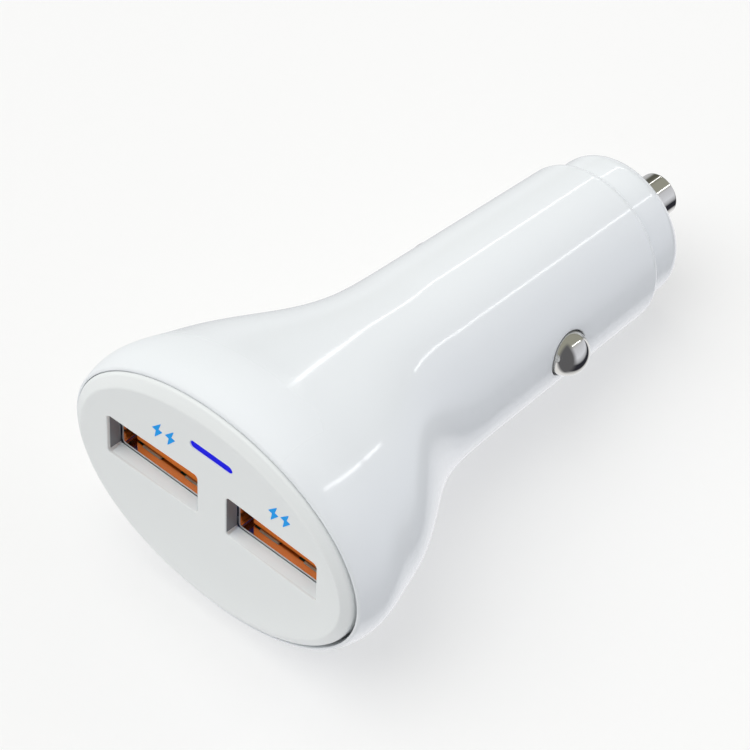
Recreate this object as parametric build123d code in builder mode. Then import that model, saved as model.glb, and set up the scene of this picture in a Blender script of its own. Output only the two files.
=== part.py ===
from build123d import *
import os
from math import sqrt

# Car USB charger plug, in millimetres.
# The plug axis is Y: the front face lies at y = 0 and the nose points to +Y.
# X is the wide way of the oval front and Z is up.

# Front panel: an oval cap that stands a little in front of the housing rim
panel_half_width = 20.1
panel_half_height = 13.85
panel_edge_rounding = 1.2
panel_proud = 0.3
panel_plate = 1.6
panel_seat_depth = 2.9
panel_wall = 1.2
panel_seam = 0.1
rib_width = 3.0
rib_height = 2.2
rib_reach = 3.0

# Housing: oval flare that runs into a tapered round barrel
rim_lip = 0.35
rim_rounding = 0.3
flare_length = 33.7
barrel_end = 59.4
barrel_end_radius = 9.73
barrel_taper = 0.036
barrel_end_rounding = 1.0
wall = 1.6
seat_ledge = 0.6
hollow_blend = 2.0

# How the overhang of the rim beyond the barrel dies out along the flare:
# share of the flare length, share of the overhang in width, share of the overhang in height
flare_shares = [
    (0.000, 1.000, 1.000),
    (0.109, 1.092, 1.304),
    (0.226, 0.963, 1.369),
    (0.348, 0.808, 1.119),
    (0.465, 0.583, 0.783),
    (0.586, 0.289, 0.495),
    (0.703, 0.091, 0.283),
    (0.825, 0.011, 0.130),
    (0.912, 0.000, 0.044),
    (1.000, 0.000, 0.000),
]

# Socket openings and the light slot in the panel
port_width = 13.0
port_height = 5.33
port_pitch = 17.16
port_height_above_axis = 0.75
port_corner = 0.45
light_span = 5.0
light_height = 1.0
light_height_above_axis = 7.7

# Sockets: sheet shells with spring fingers, tongues and contact strips
shell_gap = 0.2
shell_sheet = 0.2
shell_length = 11.0
shell_behind_panel = 0.1
shell_corner = 0.5
tongue_width = 10.5
tongue_thickness = 1.5
tongue_above_floor = 0.42
tongue_setback = 1.25
tongue_block = 2.2
block_clearance = 0.05
window_setback = 0.9
window_length = 4.6
window_width = 3.7
window_spacing = 6.3
finger_width = 2.7
finger_lift = 0.2
finger_tip_gap = 0.5
finger_side_gap = 0.15
strip_width = 1.0
strip_thickness = 0.2
strip_places = (-3.5, -1.0, 1.0, 3.5)
strip_setback = 0.6
strip_foot = 1.1
strip_clearance = 0.2
tab_length = 1.8
tab_setback = 3.2
tab_clearance = 0.15
tab_below_board = 0.5

# Circuit board with its light pipe and lamp
board_thickness = 1.2
board_front_gap = 0.2
board_margin = 0.6
board_shoulder = 12.5
board_tail_start = 19.0
board_tail_grip = 1.6
board_tail_clearance = 1.0
pipe_setback = 0.05
pipe_clearance = 0.05
pipe_flange_margin = 0.7
pipe_flange_thickness = 1.0
pipe_half_width = 1.6
pipe_depth = 2.0
lamp_width = 3.0
lamp_height = 1.0
lamp_setback = 0.4

# Parts on the board behind the sockets: places are x and the distance behind the strip feet
inductor_place = (-3.2, 8.8)
inductor_radius = 3.6
inductor_height = 6.0
inductor_flange = 1.0
inductor_waist = 1.7
coil_radius = 3.3
output_capacitor_place = (3.9, 8.0)
output_capacitor_radius = 2.5
output_capacitor_height = 5.5
chip_place = (-5.2, 2.6)
chip_size = (4.0, 4.4, 1.5)
chip_leg_pitch = 1.1
chip_leg_size = (1.0, 0.4, 0.25)
diode_place = (4.9, 2.9)
diode_size = (4.3, 2.6, 2.0)

# Parts on the board's tail: places are x and the distance ahead of the spring carrier
input_capacitor_place = (0.4, 5.1)
input_capacitor_radius = 3.15
input_capacitor_height = 6.5
capacitor_rounding = 0.4
capacitor_groove = 0.25
capacitor_groove_width = 0.5
capacitor_groove_height = 0.8
fuse_place = (0.0, 8.5)
fuse_size = (3.2, 1.6, 0.9)

# Side contacts: sprung round-ended buttons in holes on both sides of the barrel
contact_setback = 15.8
contact_radius = 2.6
contact_clearance = 0.15
contact_proud = 2.15
contact_flange_margin = 0.65
contact_flange = 0.8
contact_hollow = 1.9
contact_crown = 1.8
bore_clearance = 0.25
pad_half_length = 5.0

# Spring carrier, bracket and springs inside the barrel
carrier_reach = 8.7
carrier_side_room = 2.5
carrier_lead_room = 3.2
carrier_disc = 2.0
carrier_disc_clearance = 0.4
slot_clearance = 0.05
bracket_sheet = 0.3
bracket_width = 5.0
bracket_drop = 8.5
side_spring_radius = 1.4
side_spring_wire = 0.22
side_spring_turns = 4

# Nose with the centre pin
nose_step = 1.1
nose_length = 5.5
nose_end_rounding = 2.25
nose_front_wall = 2.5
nose_skirt_wall = 1.4
nose_fit = 0.08
pin_radius = 2.55
pin_reach = 6.1
pin_tip_rounding = 0.35
pin_clearance = 0.2
pin_flange_margin = 0.9
pin_flange = 1.2
pin_stub_length = 1.5
pin_plate_sheet = 0.4
pin_plate_margin = 0.6
pin_plate_nub = 1.0
pin_spring_wire = 0.3
pin_spring_turns = 5
spring_fit = 0.25

# Wires between the barrel and the board
lead_radius = 0.6
lead_bend = 1.5
lead_gap = 0.15
positive_lead_setback = 3.2
ground_lead_offset = 2.0
ground_lead_rise = 1.6

# Places that follow from the sizes above
rim = panel_proud
seat = rim + panel_seat_depth
rim_half_width = panel_half_width + panel_seam + rim_lip
rim_half_height = panel_half_height + panel_seam + rim_lip
flare_end = rim + flare_length
shell_width = port_width - 2 * shell_gap
shell_height = port_height - shell_gap
shell_front = panel_plate + shell_behind_panel
shell_back = shell_front + shell_length
strip_back = shell_back + strip_clearance
strip_end = strip_back + strip_foot
shell_middle = port_height_above_axis + shell_gap / 2
shell_bottom = shell_middle - shell_height / 2
shell_floor = shell_bottom + shell_sheet
shell_inner_width = shell_width - 2 * shell_sheet
shell_inner_height = shell_height - 2 * shell_sheet
tongue_bottom = shell_floor + tongue_above_floor
tongue_top = tongue_bottom + tongue_thickness
tongue_front = shell_front + tongue_setback
board_top = shell_bottom
board_bottom = board_top - board_thickness
board_front = seat + board_front_gap
board_half_width = port_pitch / 2 + shell_width / 2 + board_margin
shell_top = shell_bottom + shell_height
window_front = shell_front + window_setback
window_back = window_front + window_length
finger_shift = (window_width - finger_width) / 2 - finger_side_gap
tab_middle = shell_front + tab_setback + tab_length / 2
left_port = -port_pitch / 2
right_port = port_pitch / 2
lamp_front = board_front + lamp_setback
lamp_top = board_top + lamp_height
pipe_flange_height = light_height + 2 * pipe_flange_margin
pipe_top = light_height_above_axis + pipe_flange_height / 2
pipe_bottom = light_height_above_axis - pipe_flange_height / 2
pipe_back = lamp_front + pipe_depth


def barrel_radius(y):
    """Outer radius of the tapered barrel at a place along the axis."""
    return barrel_end_radius + barrel_taper * (barrel_end - y)


def flare_section(y, width_share=0, height_share=0):
    """Place, half width and half height of one oval station of the flare."""
    round_part = barrel_radius(y)
    start = barrel_radius(rim)
    half_width = round_part + width_share * (rim_half_width - start)
    half_height = round_part + height_share * (rim_half_height - start)
    return y, half_width, half_height


def draw_half_oval(half_width, half_height):
    """Draw the right half of an exact oval, closed along the middle plane."""
    corners = [(0, -half_height), (half_width, 0), (0, half_height)]
    for start, end in zip(corners, corners[1:]):
        corner = (start[0] + end[0], start[1] + end[1])
        Bezier(start, corner, end, weights=[1, sqrt(0.5), 1])
    Line(corners[-1], corners[0])


def behind_sockets(place):
    """Board place of a part that is set out from the strip feet of the sockets."""
    return place[0], strip_end + place[1]


def ahead_of_carrier(place):
    """Board place of a part that is set out from the front of the spring carrier."""
    return place[0], carrier_front - place[1]


contact_place = barrel_end - contact_setback
bore_at_contact = barrel_radius(contact_place) - wall
contact_hole = contact_radius + contact_clearance
contact_flange_radius = contact_radius + contact_flange_margin
pad_face = sqrt((bore_at_contact - bore_clearance) ** 2 - contact_flange_radius**2)
pad_back = contact_place + pad_half_length
contact_rim = barrel_radius(contact_place)
contact_crest = contact_rim + contact_proud
contact_shoulder = contact_crest - contact_radius
contact_inner = pad_face - contact_flange
contact_hollow_end = contact_crest - contact_crown
carrier_front = contact_place - carrier_reach
carrier_half_width = contact_inner - carrier_side_room
carrier_half_height = bore_at_contact - carrier_lead_room
bracket_face = carrier_half_width + bracket_sheet
carrier_back = pad_back + carrier_disc
carrier_disc_radius = barrel_radius(carrier_back) - wall - carrier_disc_clearance
skirt_radius = barrel_end_radius - wall - nose_fit
skirt_inner = skirt_radius - nose_skirt_wall
skirt_front = carrier_back + pin_plate_sheet
nose_radius = barrel_end_radius - nose_step
nose_end = barrel_end + nose_length
pin_tip = nose_end + pin_reach
nose_inner_end = nose_end - nose_front_wall
pin_flange_radius = pin_radius + pin_clearance + pin_flange_margin
pin_flange_back = nose_inner_end - pin_flange
pin_spring_radius = pin_flange_radius - pin_spring_wire - spring_fit
pin_stub_radius = pin_spring_radius - pin_spring_wire - spring_fit
positive_lead_height = -(carrier_half_height + lead_gap + lead_radius)
side_spring_length = contact_hollow_end - bracket_face - 2 * side_spring_wire
pin_spring_length = pin_flange_back - skirt_front - 2 * pin_spring_wire
bracket_top = carrier_half_height + bracket_sheet
positive_lead_end = carrier_front - positive_lead_setback
ground_lead_end = carrier_front - lead_gap - lead_radius
board_tail_end = carrier_front + board_tail_grip
board_tail_reach = barrel_radius(board_tail_end) - wall - board_tail_clearance
board_tail_half_width = sqrt(board_tail_reach**2 - board_bottom**2)
inductor_spot = behind_sockets(inductor_place)
output_capacitor_spot = behind_sockets(output_capacitor_place)
chip_spot = behind_sockets(chip_place)
diode_spot = behind_sockets(diode_place)
input_capacitor_spot = ahead_of_carrier(input_capacitor_place)
fuse_spot = ahead_of_carrier(fuse_place)

stations = [flare_section(rim + share * flare_length, *shares) for share, *shares in flare_shares]
bore_start = flare_end + wall
hollow_stations = [(seat, panel_half_width - seat_ledge, panel_half_height - seat_ledge)]
for y, half_width, half_height in stations + [flare_section(bore_start)]:
    if y > seat + hollow_blend:
        hollow_stations.append((y, half_width - wall, half_height - wall))

os.makedirs("parts", exist_ok=True)

# Space inside the flare: one half and its mirror image
with BuildPart() as flare_hollow:
    for y, half_width, half_height in hollow_stations:
        with BuildSketch(Plane.XZ.offset(-y)):
            with BuildLine():
                draw_half_oval(half_width, half_height)
            make_face()
    loft()
    mirror(about=Plane.YZ)

# Space inside the barrel, with a flat pad left standing behind each side contact
with BuildPart() as barrel_hollow:
    with BuildSketch(Plane.XY):
        with BuildLine():
            Polyline(
                (0, bore_start),
                (barrel_radius(bore_start) - wall, bore_start),
                (barrel_end_radius - wall, barrel_end),
                (0, barrel_end),
                close=True,
            )
        make_face()
    revolve(axis=Axis.Y)
    with BuildSketch(Plane.XY):
        for side in (-1, 1):
            with Locations((side * (pad_face + wall), contact_place)):
                Rectangle(2 * wall, 2 * pad_half_length)
    extrude(amount=barrel_end_radius, both=True, mode=Mode.SUBTRACT)

# Housing: half of the flare and its mirror image, then the barrel on its end
with BuildPart() as housing:
    for y, half_width, half_height in stations:
        with BuildSketch(Plane.XZ.offset(-y)):
            with BuildLine():
                draw_half_oval(half_width, half_height)
            make_face()
    loft()
    mirror(about=Plane.YZ)
    with BuildSketch(Plane.XY):
        with BuildLine():
            Polyline(
                (0, flare_end),
                (barrel_radius(flare_end), flare_end),
                (barrel_end_radius, barrel_end),
                (0, barrel_end),
                close=True,
            )
        make_face()
    revolve(axis=Axis.Y)
    fillet(housing.edges().group_by(Axis.Y)[-1], barrel_end_rounding)
    fillet(housing.edges().group_by(Axis.Y)[0], rim_rounding)
    with BuildSketch(Plane.XZ.offset(-rim)):
        Ellipse(panel_half_width + panel_seam, panel_half_height + panel_seam)
    extrude(amount=-panel_seat_depth, mode=Mode.SUBTRACT)
    add(flare_hollow.part, mode=Mode.SUBTRACT)
    add(barrel_hollow.part, mode=Mode.SUBTRACT)
    with BuildSketch(Plane.YZ):
        with Locations((contact_place, 0)):
            Circle(contact_hole)
    extrude(amount=2 * barrel_end_radius, both=True, mode=Mode.SUBTRACT)
housing.part.label = "housing"
export_step(housing.part, "parts/housing.step")

with BuildPart() as front_panel:
    with BuildSketch(Plane.XZ):
        Ellipse(panel_half_width, panel_half_height)
    extrude(amount=-seat)
    fillet(front_panel.edges().group_by(Axis.Y)[0], panel_edge_rounding)
    with BuildSketch(Plane.XZ.offset(-panel_plate)):
        Ellipse(panel_half_width - panel_wall, panel_half_height - panel_wall)
    extrude(amount=panel_plate - seat, mode=Mode.SUBTRACT)
    with BuildSketch(Plane.XZ):
        with Locations((left_port, port_height_above_axis), (right_port, port_height_above_axis)):
            RectangleRounded(port_width, port_height, port_corner)
        with Locations((0, light_height_above_axis)):
            SlotCenterToCenter(light_span, light_height)
    extrude(amount=-panel_plate, mode=Mode.SUBTRACT)
    with BuildSketch(Plane.XZ.offset(-panel_plate)):
        with Locations((left_port, board_bottom), (right_port, board_bottom)):
            Rectangle(rib_width, rib_height, align=(Align.CENTER, Align.MAX))
    extrude(amount=panel_plate - board_front - rib_reach)
front_panel.part.label = "front_panel"
export_step(front_panel.part, "parts/front_panel.step")

with BuildPart() as light_pipe:
    with BuildSketch(Plane.XZ.offset(-pipe_setback)):
        with Locations((0, light_height_above_axis)):
            SlotCenterToCenter(light_span, light_height - 2 * pipe_clearance)
    extrude(amount=pipe_setback - panel_plate)
    with BuildSketch(Plane.XZ.offset(-panel_plate)):
        with Locations((0, light_height_above_axis)):
            Rectangle(light_span + pipe_flange_height, pipe_flange_height)
    extrude(amount=-pipe_flange_thickness)
    with BuildSketch(Plane.YZ):
        with BuildLine():
            Polyline(
                (panel_plate, pipe_bottom),
                (lamp_front, pipe_bottom),
                (lamp_front, lamp_top),
                (pipe_back, lamp_top),
                (pipe_back, pipe_bottom),
                (lamp_front, pipe_top),
                (panel_plate, pipe_top),
                close=True,
            )
        make_face()
    extrude(amount=pipe_half_width, both=True)
light_pipe.part.label = "light_pipe"
export_step(light_pipe.part, "parts/light_pipe.step")

# Left socket: sheet shell with two spring fingers in its floor and two in its roof
with BuildPart() as usb_shell_left:
    with BuildSketch(Plane.XZ.offset(-shell_front)):
        with Locations((left_port, shell_middle)):
            RectangleRounded(shell_width, shell_height, shell_corner)
            RectangleRounded(
                shell_inner_width, shell_inner_height, shell_corner - shell_sheet, mode=Mode.SUBTRACT
            )
    extrude(amount=-shell_length)
    with BuildSketch(Plane.XY.offset(shell_middle)):
        with Locations((left_port, (window_front + window_back) / 2)):
            with GridLocations(window_spacing, 0, 2, 1):
                Rectangle(window_width, window_length)
    extrude(amount=shell_height, both=True, mode=Mode.SUBTRACT)
    for side in (-1, 1):
        finger_middle = left_port + side * window_spacing / 2 + finger_shift
        for level, inward in ((shell_bottom, 1), (shell_top, -1)):
            with BuildSketch(Plane.YZ.offset(finger_middle)):
                with BuildLine():
                    Polyline(
                        (window_back, level),
                        (window_back, level + inward * shell_sheet),
                        (window_front + finger_tip_gap, level + inward * (shell_sheet + finger_lift)),
                        (window_front + finger_tip_gap, level + inward * finger_lift),
                        close=True,
                    )
                make_face()
            extrude(amount=finger_width / 2, both=True)
    with BuildSketch(Plane.XY.offset(board_bottom - tab_below_board)):
        with Locations((left_port, tab_middle)):
            with GridLocations(shell_width - shell_sheet, 0, 2, 1):
                Rectangle(shell_sheet, tab_length)
    extrude(amount=shell_middle - board_bottom + tab_below_board)
usb_shell_left.part.label = "usb_shell_left"
export_step(usb_shell_left.part, "parts/usb_shell_left.step")

with BuildPart() as usb_contacts_left:
    for place in strip_places:
        with BuildSketch(Plane.YZ.offset(left_port + place)):
            with BuildLine():
                Polyline(
                    (tongue_front + strip_setback, tongue_top),
                    (strip_back, tongue_top),
                    (strip_back, board_top),
                    (strip_end, board_top),
                    (strip_end, board_top + strip_thickness),
                    (strip_back + strip_thickness, board_top + strip_thickness),
                    (strip_back + strip_thickness, tongue_top + strip_thickness),
                    (tongue_front + strip_setback, tongue_top + strip_thickness),
                    close=True,
                )
            make_face()
        extrude(amount=strip_width / 2, both=True)
usb_contacts_left.part.label = "usb_contacts_left"
export_step(usb_contacts_left.part, "parts/usb_contacts_left.step")

with BuildPart() as usb_tongue_left:
    with BuildSketch(Plane.XZ.offset(-shell_back)):
        with Locations((left_port, shell_middle)):
            RectangleRounded(
                shell_inner_width - 2 * block_clearance,
                shell_inner_height - 2 * block_clearance,
                shell_corner - shell_sheet,
            )
    extrude(amount=tongue_block)
    with BuildSketch(Plane.XZ.offset(-tongue_front)):
        with Locations((left_port, tongue_bottom)):
            Rectangle(tongue_width, tongue_thickness, align=(Align.CENTER, Align.MIN))
    extrude(amount=tongue_front + tongue_block - shell_back)
    add(usb_contacts_left.part, mode=Mode.SUBTRACT)
usb_tongue_left.part.label = "usb_tongue_left"
export_step(usb_tongue_left.part, "parts/usb_tongue_left.step")

# Right socket: the same three pieces one pitch further
with BuildPart() as usb_shell_right:
    with Locations((port_pitch, 0, 0)):
        add(usb_shell_left.part)
usb_shell_right.part.label = "usb_shell_right"
export_step(usb_shell_right.part, "parts/usb_shell_right.step")

with BuildPart() as usb_contacts_right:
    with Locations((port_pitch, 0, 0)):
        add(usb_contacts_left.part)
usb_contacts_right.part.label = "usb_contacts_right"
export_step(usb_contacts_right.part, "parts/usb_contacts_right.step")

with BuildPart() as usb_tongue_right:
    with Locations((port_pitch, 0, 0)):
        add(usb_tongue_left.part)
usb_tongue_right.part.label = "usb_tongue_right"
export_step(usb_tongue_right.part, "parts/usb_tongue_right.step")

with BuildPart() as circuit_board:
    with BuildSketch(Plane.XY.offset(board_bottom)):
        with BuildLine():
            Polyline(
                (board_half_width, board_front),
                (board_half_width, board_shoulder),
                (board_tail_half_width, board_tail_start),
                (board_tail_half_width, board_tail_end),
                (-board_tail_half_width, board_tail_end),
                (-board_tail_half_width, board_tail_start),
                (-board_half_width, board_shoulder),
                (-board_half_width, board_front),
                close=True,
            )
        make_face()
        with Locations((left_port, tab_middle), (right_port, tab_middle)):
            with GridLocations(shell_width - shell_sheet, 0, 2, 1):
                Rectangle(shell_sheet + 2 * tab_clearance, tab_length + 2 * tab_clearance, mode=Mode.SUBTRACT)
    extrude(amount=board_thickness)
circuit_board.part.label = "circuit_board"
export_step(circuit_board.part, "parts/circuit_board.step")

with BuildPart() as status_led:
    with BuildSketch(Plane.XY.offset(board_top)):
        with Locations((0, lamp_front)):
            Rectangle(lamp_width, pipe_depth, align=(Align.CENTER, Align.MIN))
    extrude(amount=lamp_height)
status_led.part.label = "status_led"
export_step(status_led.part, "parts/status_led.step")

with BuildPart() as inductor_core:
    with BuildSketch(Plane.XY.offset(board_top)):
        with Locations(inductor_spot):
            Circle(inductor_waist)
    extrude(amount=inductor_height)
    for level in (board_top, board_top + inductor_height - inductor_flange):
        with BuildSketch(Plane.XY.offset(level)):
            with Locations(inductor_spot):
                Circle(inductor_radius)
        extrude(amount=inductor_flange)
inductor_core.part.label = "inductor_core"
export_step(inductor_core.part, "parts/inductor_core.step")

with BuildPart() as inductor_coil:
    with BuildSketch(Plane.XY.offset(board_top + inductor_flange)):
        with Locations(inductor_spot):
            Circle(coil_radius)
            Circle(inductor_waist, mode=Mode.SUBTRACT)
    extrude(amount=inductor_height - 2 * inductor_flange)
inductor_coil.part.label = "inductor_coil"
export_step(inductor_coil.part, "parts/inductor_coil.step")

with BuildPart() as input_capacitor:
    with BuildSketch(Plane.XY.offset(board_top)):
        with Locations(input_capacitor_spot):
            Circle(input_capacitor_radius)
    extrude(amount=input_capacitor_height)
    fillet(input_capacitor.edges().group_by(Axis.Z)[-1], capacitor_rounding)
    with BuildSketch(Plane.XY.offset(board_top + capacitor_groove_height)):
        with Locations(input_capacitor_spot):
            Circle(input_capacitor_radius)
            Circle(input_capacitor_radius - capacitor_groove, mode=Mode.SUBTRACT)
    extrude(amount=capacitor_groove_width, mode=Mode.SUBTRACT)
input_capacitor.part.label = "input_capacitor"
export_step(input_capacitor.part, "parts/input_capacitor.step")

with BuildPart() as output_capacitor:
    with BuildSketch(Plane.XY.offset(board_top)):
        with Locations(output_capacitor_spot):
            Circle(output_capacitor_radius)
    extrude(amount=output_capacitor_height)
    fillet(output_capacitor.edges().group_by(Axis.Z)[-1], capacitor_rounding)
    with BuildSketch(Plane.XY.offset(board_top + capacitor_groove_height)):
        with Locations(output_capacitor_spot):
            Circle(output_capacitor_radius)
            Circle(output_capacitor_radius - capacitor_groove, mode=Mode.SUBTRACT)
    extrude(amount=capacitor_groove_width, mode=Mode.SUBTRACT)
output_capacitor.part.label = "output_capacitor"
export_step(output_capacitor.part, "parts/output_capacitor.step")

with BuildPart() as controller_chip:
    with BuildSketch(Plane.XY.offset(board_top)):
        with Locations(chip_spot):
            Rectangle(chip_size[0], chip_size[1])
    extrude(amount=chip_size[2])
    with BuildSketch(Plane.XY.offset(board_top)):
        with Locations(chip_spot):
            with GridLocations(chip_size[0] + chip_leg_size[0], chip_leg_pitch, 2, 4):
                Rectangle(chip_leg_size[0], chip_leg_size[1])
    extrude(amount=chip_leg_size[2])
controller_chip.part.label = "controller_chip"
export_step(controller_chip.part, "parts/controller_chip.step")

with BuildPart() as diode:
    with BuildSketch(Plane.XY.offset(board_top)):
        with Locations(diode_spot):
            Rectangle(diode_size[0], diode_size[1])
    extrude(amount=diode_size[2])
diode.part.label = "diode"
export_step(diode.part, "parts/diode.step")

with BuildPart() as fuse:
    with BuildSketch(Plane.XY.offset(board_bottom)):
        with Locations(fuse_spot):
            Rectangle(fuse_size[0], fuse_size[1])
    extrude(amount=-fuse_size[2])
fuse.part.label = "fuse"
export_step(fuse.part, "parts/fuse.step")

# Plastic block in the barrel: its disc stops against the pads, its front slot holds the board
with BuildPart() as spring_carrier:
    with BuildSketch(Plane.XZ.offset(-carrier_front)):
        Rectangle(2 * carrier_half_width, 2 * carrier_half_height)
    extrude(amount=carrier_front - pad_back)
    with BuildSketch(Plane.XZ.offset(-pad_back)):
        Circle(carrier_disc_radius)
        with Locations((0, positive_lead_height)):
            Circle(lead_radius + lead_gap, mode=Mode.SUBTRACT)
    extrude(amount=-carrier_disc)
    with BuildSketch(Plane.XZ.offset(-carrier_front)):
        with Locations((0, (board_top + board_bottom) / 2)):
            Rectangle(2 * carrier_half_width, board_thickness + 2 * slot_clearance)
    extrude(amount=carrier_front - board_tail_end - slot_clearance, mode=Mode.SUBTRACT)
spring_carrier.part.label = "spring_carrier"
export_step(spring_carrier.part, "parts/spring_carrier.step")

with BuildPart() as ground_bracket:
    with BuildSketch(Plane.XZ.offset(bracket_width / 2 - contact_place)):
        with Locations((0, carrier_half_height + bracket_sheet)):
            Rectangle(2 * bracket_face, bracket_drop, align=(Align.CENTER, Align.MAX))
        with Locations((0, carrier_half_height)):
            Rectangle(
                2 * carrier_half_width, bracket_drop, align=(Align.CENTER, Align.MAX), mode=Mode.SUBTRACT
            )
    extrude(amount=-bracket_width)
ground_bracket.part.label = "ground_bracket"
export_step(ground_bracket.part, "parts/ground_bracket.step")

# Side contact: hollow button with a ball end and a flange that keeps it in
with BuildPart() as right_contact:
    with BuildSketch(Plane.XY):
        with BuildLine():
            ball_end = TangentArc(
                (contact_crest, contact_place),
                (contact_shoulder, contact_place + contact_radius),
                tangent=(0, 1),
            )
            Polyline(
                ball_end @ 1,
                (pad_face, contact_place + contact_radius),
                (pad_face, contact_place + contact_flange_radius),
                (contact_inner, contact_place + contact_flange_radius),
                (contact_inner, contact_place + contact_hollow),
                (contact_hollow_end, contact_place + contact_hollow),
                (contact_hollow_end, contact_place),
                ball_end @ 0,
            )
        make_face()
    revolve(axis=Axis((0, contact_place, 0), (1, 0, 0)))
right_contact.part.label = "right_contact"
export_step(right_contact.part, "parts/right_contact.step")

with BuildPart() as left_contact:
    mirror(right_contact.part, about=Plane.YZ)
left_contact.part.label = "left_contact"
export_step(left_contact.part, "parts/left_contact.step")

with BuildPart() as right_spring:
    with BuildLine() as side_coil:
        Helix(
            pitch=side_spring_length / side_spring_turns,
            height=side_spring_length,
            radius=side_spring_radius,
            center=(bracket_face + side_spring_wire, contact_place, 0),
            direction=(1, 0, 0),
        )
    with BuildSketch(Plane(origin=side_coil.line @ 0, z_dir=side_coil.line % 0)):
        Circle(side_spring_wire)
    sweep(path=side_coil.line)
right_spring.part.label = "right_spring"
export_step(right_spring.part, "parts/right_spring.step")

with BuildPart() as left_spring:
    mirror(right_spring.part, about=Plane.YZ)
left_spring.part.label = "left_spring"
export_step(left_spring.part, "parts/left_spring.step")

with BuildPart() as pin_plate:
    with BuildSketch(Plane.XZ.offset(-carrier_back)):
        Circle(skirt_inner + pin_plate_margin)
    extrude(amount=-pin_plate_sheet)
    with BuildSketch(Plane.XZ.offset(-skirt_front)):
        Circle(pin_stub_radius)
    extrude(amount=-pin_plate_nub)
pin_plate.part.label = "pin_plate"
export_step(pin_plate.part, "parts/pin_plate.step")

with BuildPart() as pin_spring:
    with BuildLine() as pin_coil:
        Helix(
            pitch=pin_spring_length / pin_spring_turns,
            height=pin_spring_length,
            radius=pin_spring_radius,
            center=(0, skirt_front + pin_spring_wire, 0),
            direction=(0, 1, 0),
        )
    with BuildSketch(Plane(origin=pin_coil.line @ 0, z_dir=pin_coil.line % 0)):
        Circle(pin_spring_wire)
    sweep(path=pin_coil.line)
pin_spring.part.label = "pin_spring"
export_step(pin_spring.part, "parts/pin_spring.step")

with BuildPart() as centre_pin:
    with BuildSketch(Plane.XY):
        with BuildLine():
            Polyline(
                (0, pin_flange_back - pin_stub_length),
                (pin_stub_radius, pin_flange_back - pin_stub_length),
                (pin_stub_radius, pin_flange_back),
                (pin_flange_radius, pin_flange_back),
                (pin_flange_radius, nose_inner_end),
                (pin_radius, nose_inner_end),
                (pin_radius, pin_tip),
                (0, pin_tip),
                close=True,
            )
        make_face()
    revolve(axis=Axis.Y)
    fillet(centre_pin.edges().group_by(Axis.Y)[-1], pin_tip_rounding)
centre_pin.part.label = "centre_pin"
export_step(centre_pin.part, "parts/centre_pin.step")

# Nose: its shoulder sits on the end of the barrel and its skirt clamps the pin plate
with BuildPart() as nose_cap:
    with BuildSketch(Plane.XY):
        with BuildLine():
            Polyline(
                (skirt_inner, skirt_front),
                (skirt_radius, skirt_front),
                (skirt_radius, barrel_end),
                (nose_radius, barrel_end),
                (nose_radius, nose_end),
                (pin_radius + pin_clearance, nose_end),
                (pin_radius + pin_clearance, nose_inner_end),
                (skirt_inner, nose_inner_end),
                close=True,
            )
        make_face()
    revolve(axis=Axis.Y)
    fillet(nose_cap.edges().group_by(Axis.Y)[-1].sort_by(SortBy.RADIUS)[-1], nose_end_rounding)
nose_cap.part.label = "nose_cap"
export_step(nose_cap.part, "parts/nose_cap.step")

with BuildPart() as positive_lead:
    with BuildLine(Plane.YZ) as positive_route:
        FilletPolyline(
            (carrier_back, positive_lead_height),
            (positive_lead_end, positive_lead_height),
            (positive_lead_end, board_bottom),
            radius=lead_bend,
        )
    with BuildSketch(Plane(origin=positive_route.line @ 0, z_dir=positive_route.line % 0)):
        Circle(lead_radius)
    sweep(path=positive_route.line)
positive_lead.part.label = "positive_lead"
export_step(positive_lead.part, "parts/positive_lead.step")

with BuildPart() as ground_lead:
    with BuildLine(Plane.YZ.offset(ground_lead_offset)) as ground_route:
        FilletPolyline(
            (contact_place, bracket_top),
            (contact_place, bracket_top + ground_lead_rise),
            (ground_lead_end, bracket_top + ground_lead_rise),
            (ground_lead_end, board_top),
            radius=lead_bend,
        )
    with BuildSketch(Plane(origin=ground_route.line @ 0, z_dir=ground_route.line % 0)):
        Circle(lead_radius)
    sweep(path=ground_route.line)
ground_lead.part.label = "ground_lead"
export_step(ground_lead.part, "parts/ground_lead.step")
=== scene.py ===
"""Visual model of a car charger plug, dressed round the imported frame.

Lengths are metres in the frame's own axes: Y runs along the plug from the front face to the
nose, X is the wide way of the oval front, and Z is up.
"""
import logging
from dataclasses import dataclass, field
from enum import Enum
from typing import Callable, Optional, Sequence, Union

import bmesh
import bpy
import numpy as np
from bpy.types import ID, Material, Mesh, NodeSocket, Object, World
from mathutils import Matrix, Vector
from mathutils.geometry import delaunay_2d_cdt


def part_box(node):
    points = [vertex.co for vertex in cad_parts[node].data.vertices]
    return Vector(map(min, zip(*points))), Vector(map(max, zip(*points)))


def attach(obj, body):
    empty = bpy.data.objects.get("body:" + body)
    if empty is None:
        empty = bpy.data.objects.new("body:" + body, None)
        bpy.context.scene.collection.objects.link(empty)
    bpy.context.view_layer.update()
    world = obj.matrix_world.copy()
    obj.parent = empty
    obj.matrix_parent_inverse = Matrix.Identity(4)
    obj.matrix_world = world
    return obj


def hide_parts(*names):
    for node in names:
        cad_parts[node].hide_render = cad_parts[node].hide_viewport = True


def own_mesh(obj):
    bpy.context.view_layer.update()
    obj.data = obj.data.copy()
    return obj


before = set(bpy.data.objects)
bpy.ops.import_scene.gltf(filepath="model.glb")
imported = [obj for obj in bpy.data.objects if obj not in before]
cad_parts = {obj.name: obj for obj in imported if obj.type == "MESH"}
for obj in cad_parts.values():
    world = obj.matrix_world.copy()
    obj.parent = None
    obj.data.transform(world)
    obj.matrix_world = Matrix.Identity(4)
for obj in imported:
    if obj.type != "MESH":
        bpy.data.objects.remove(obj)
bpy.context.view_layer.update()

MM = 0.001
TURN = 2 * np.pi
SHARP_ANGLE = np.radians(38)
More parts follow.
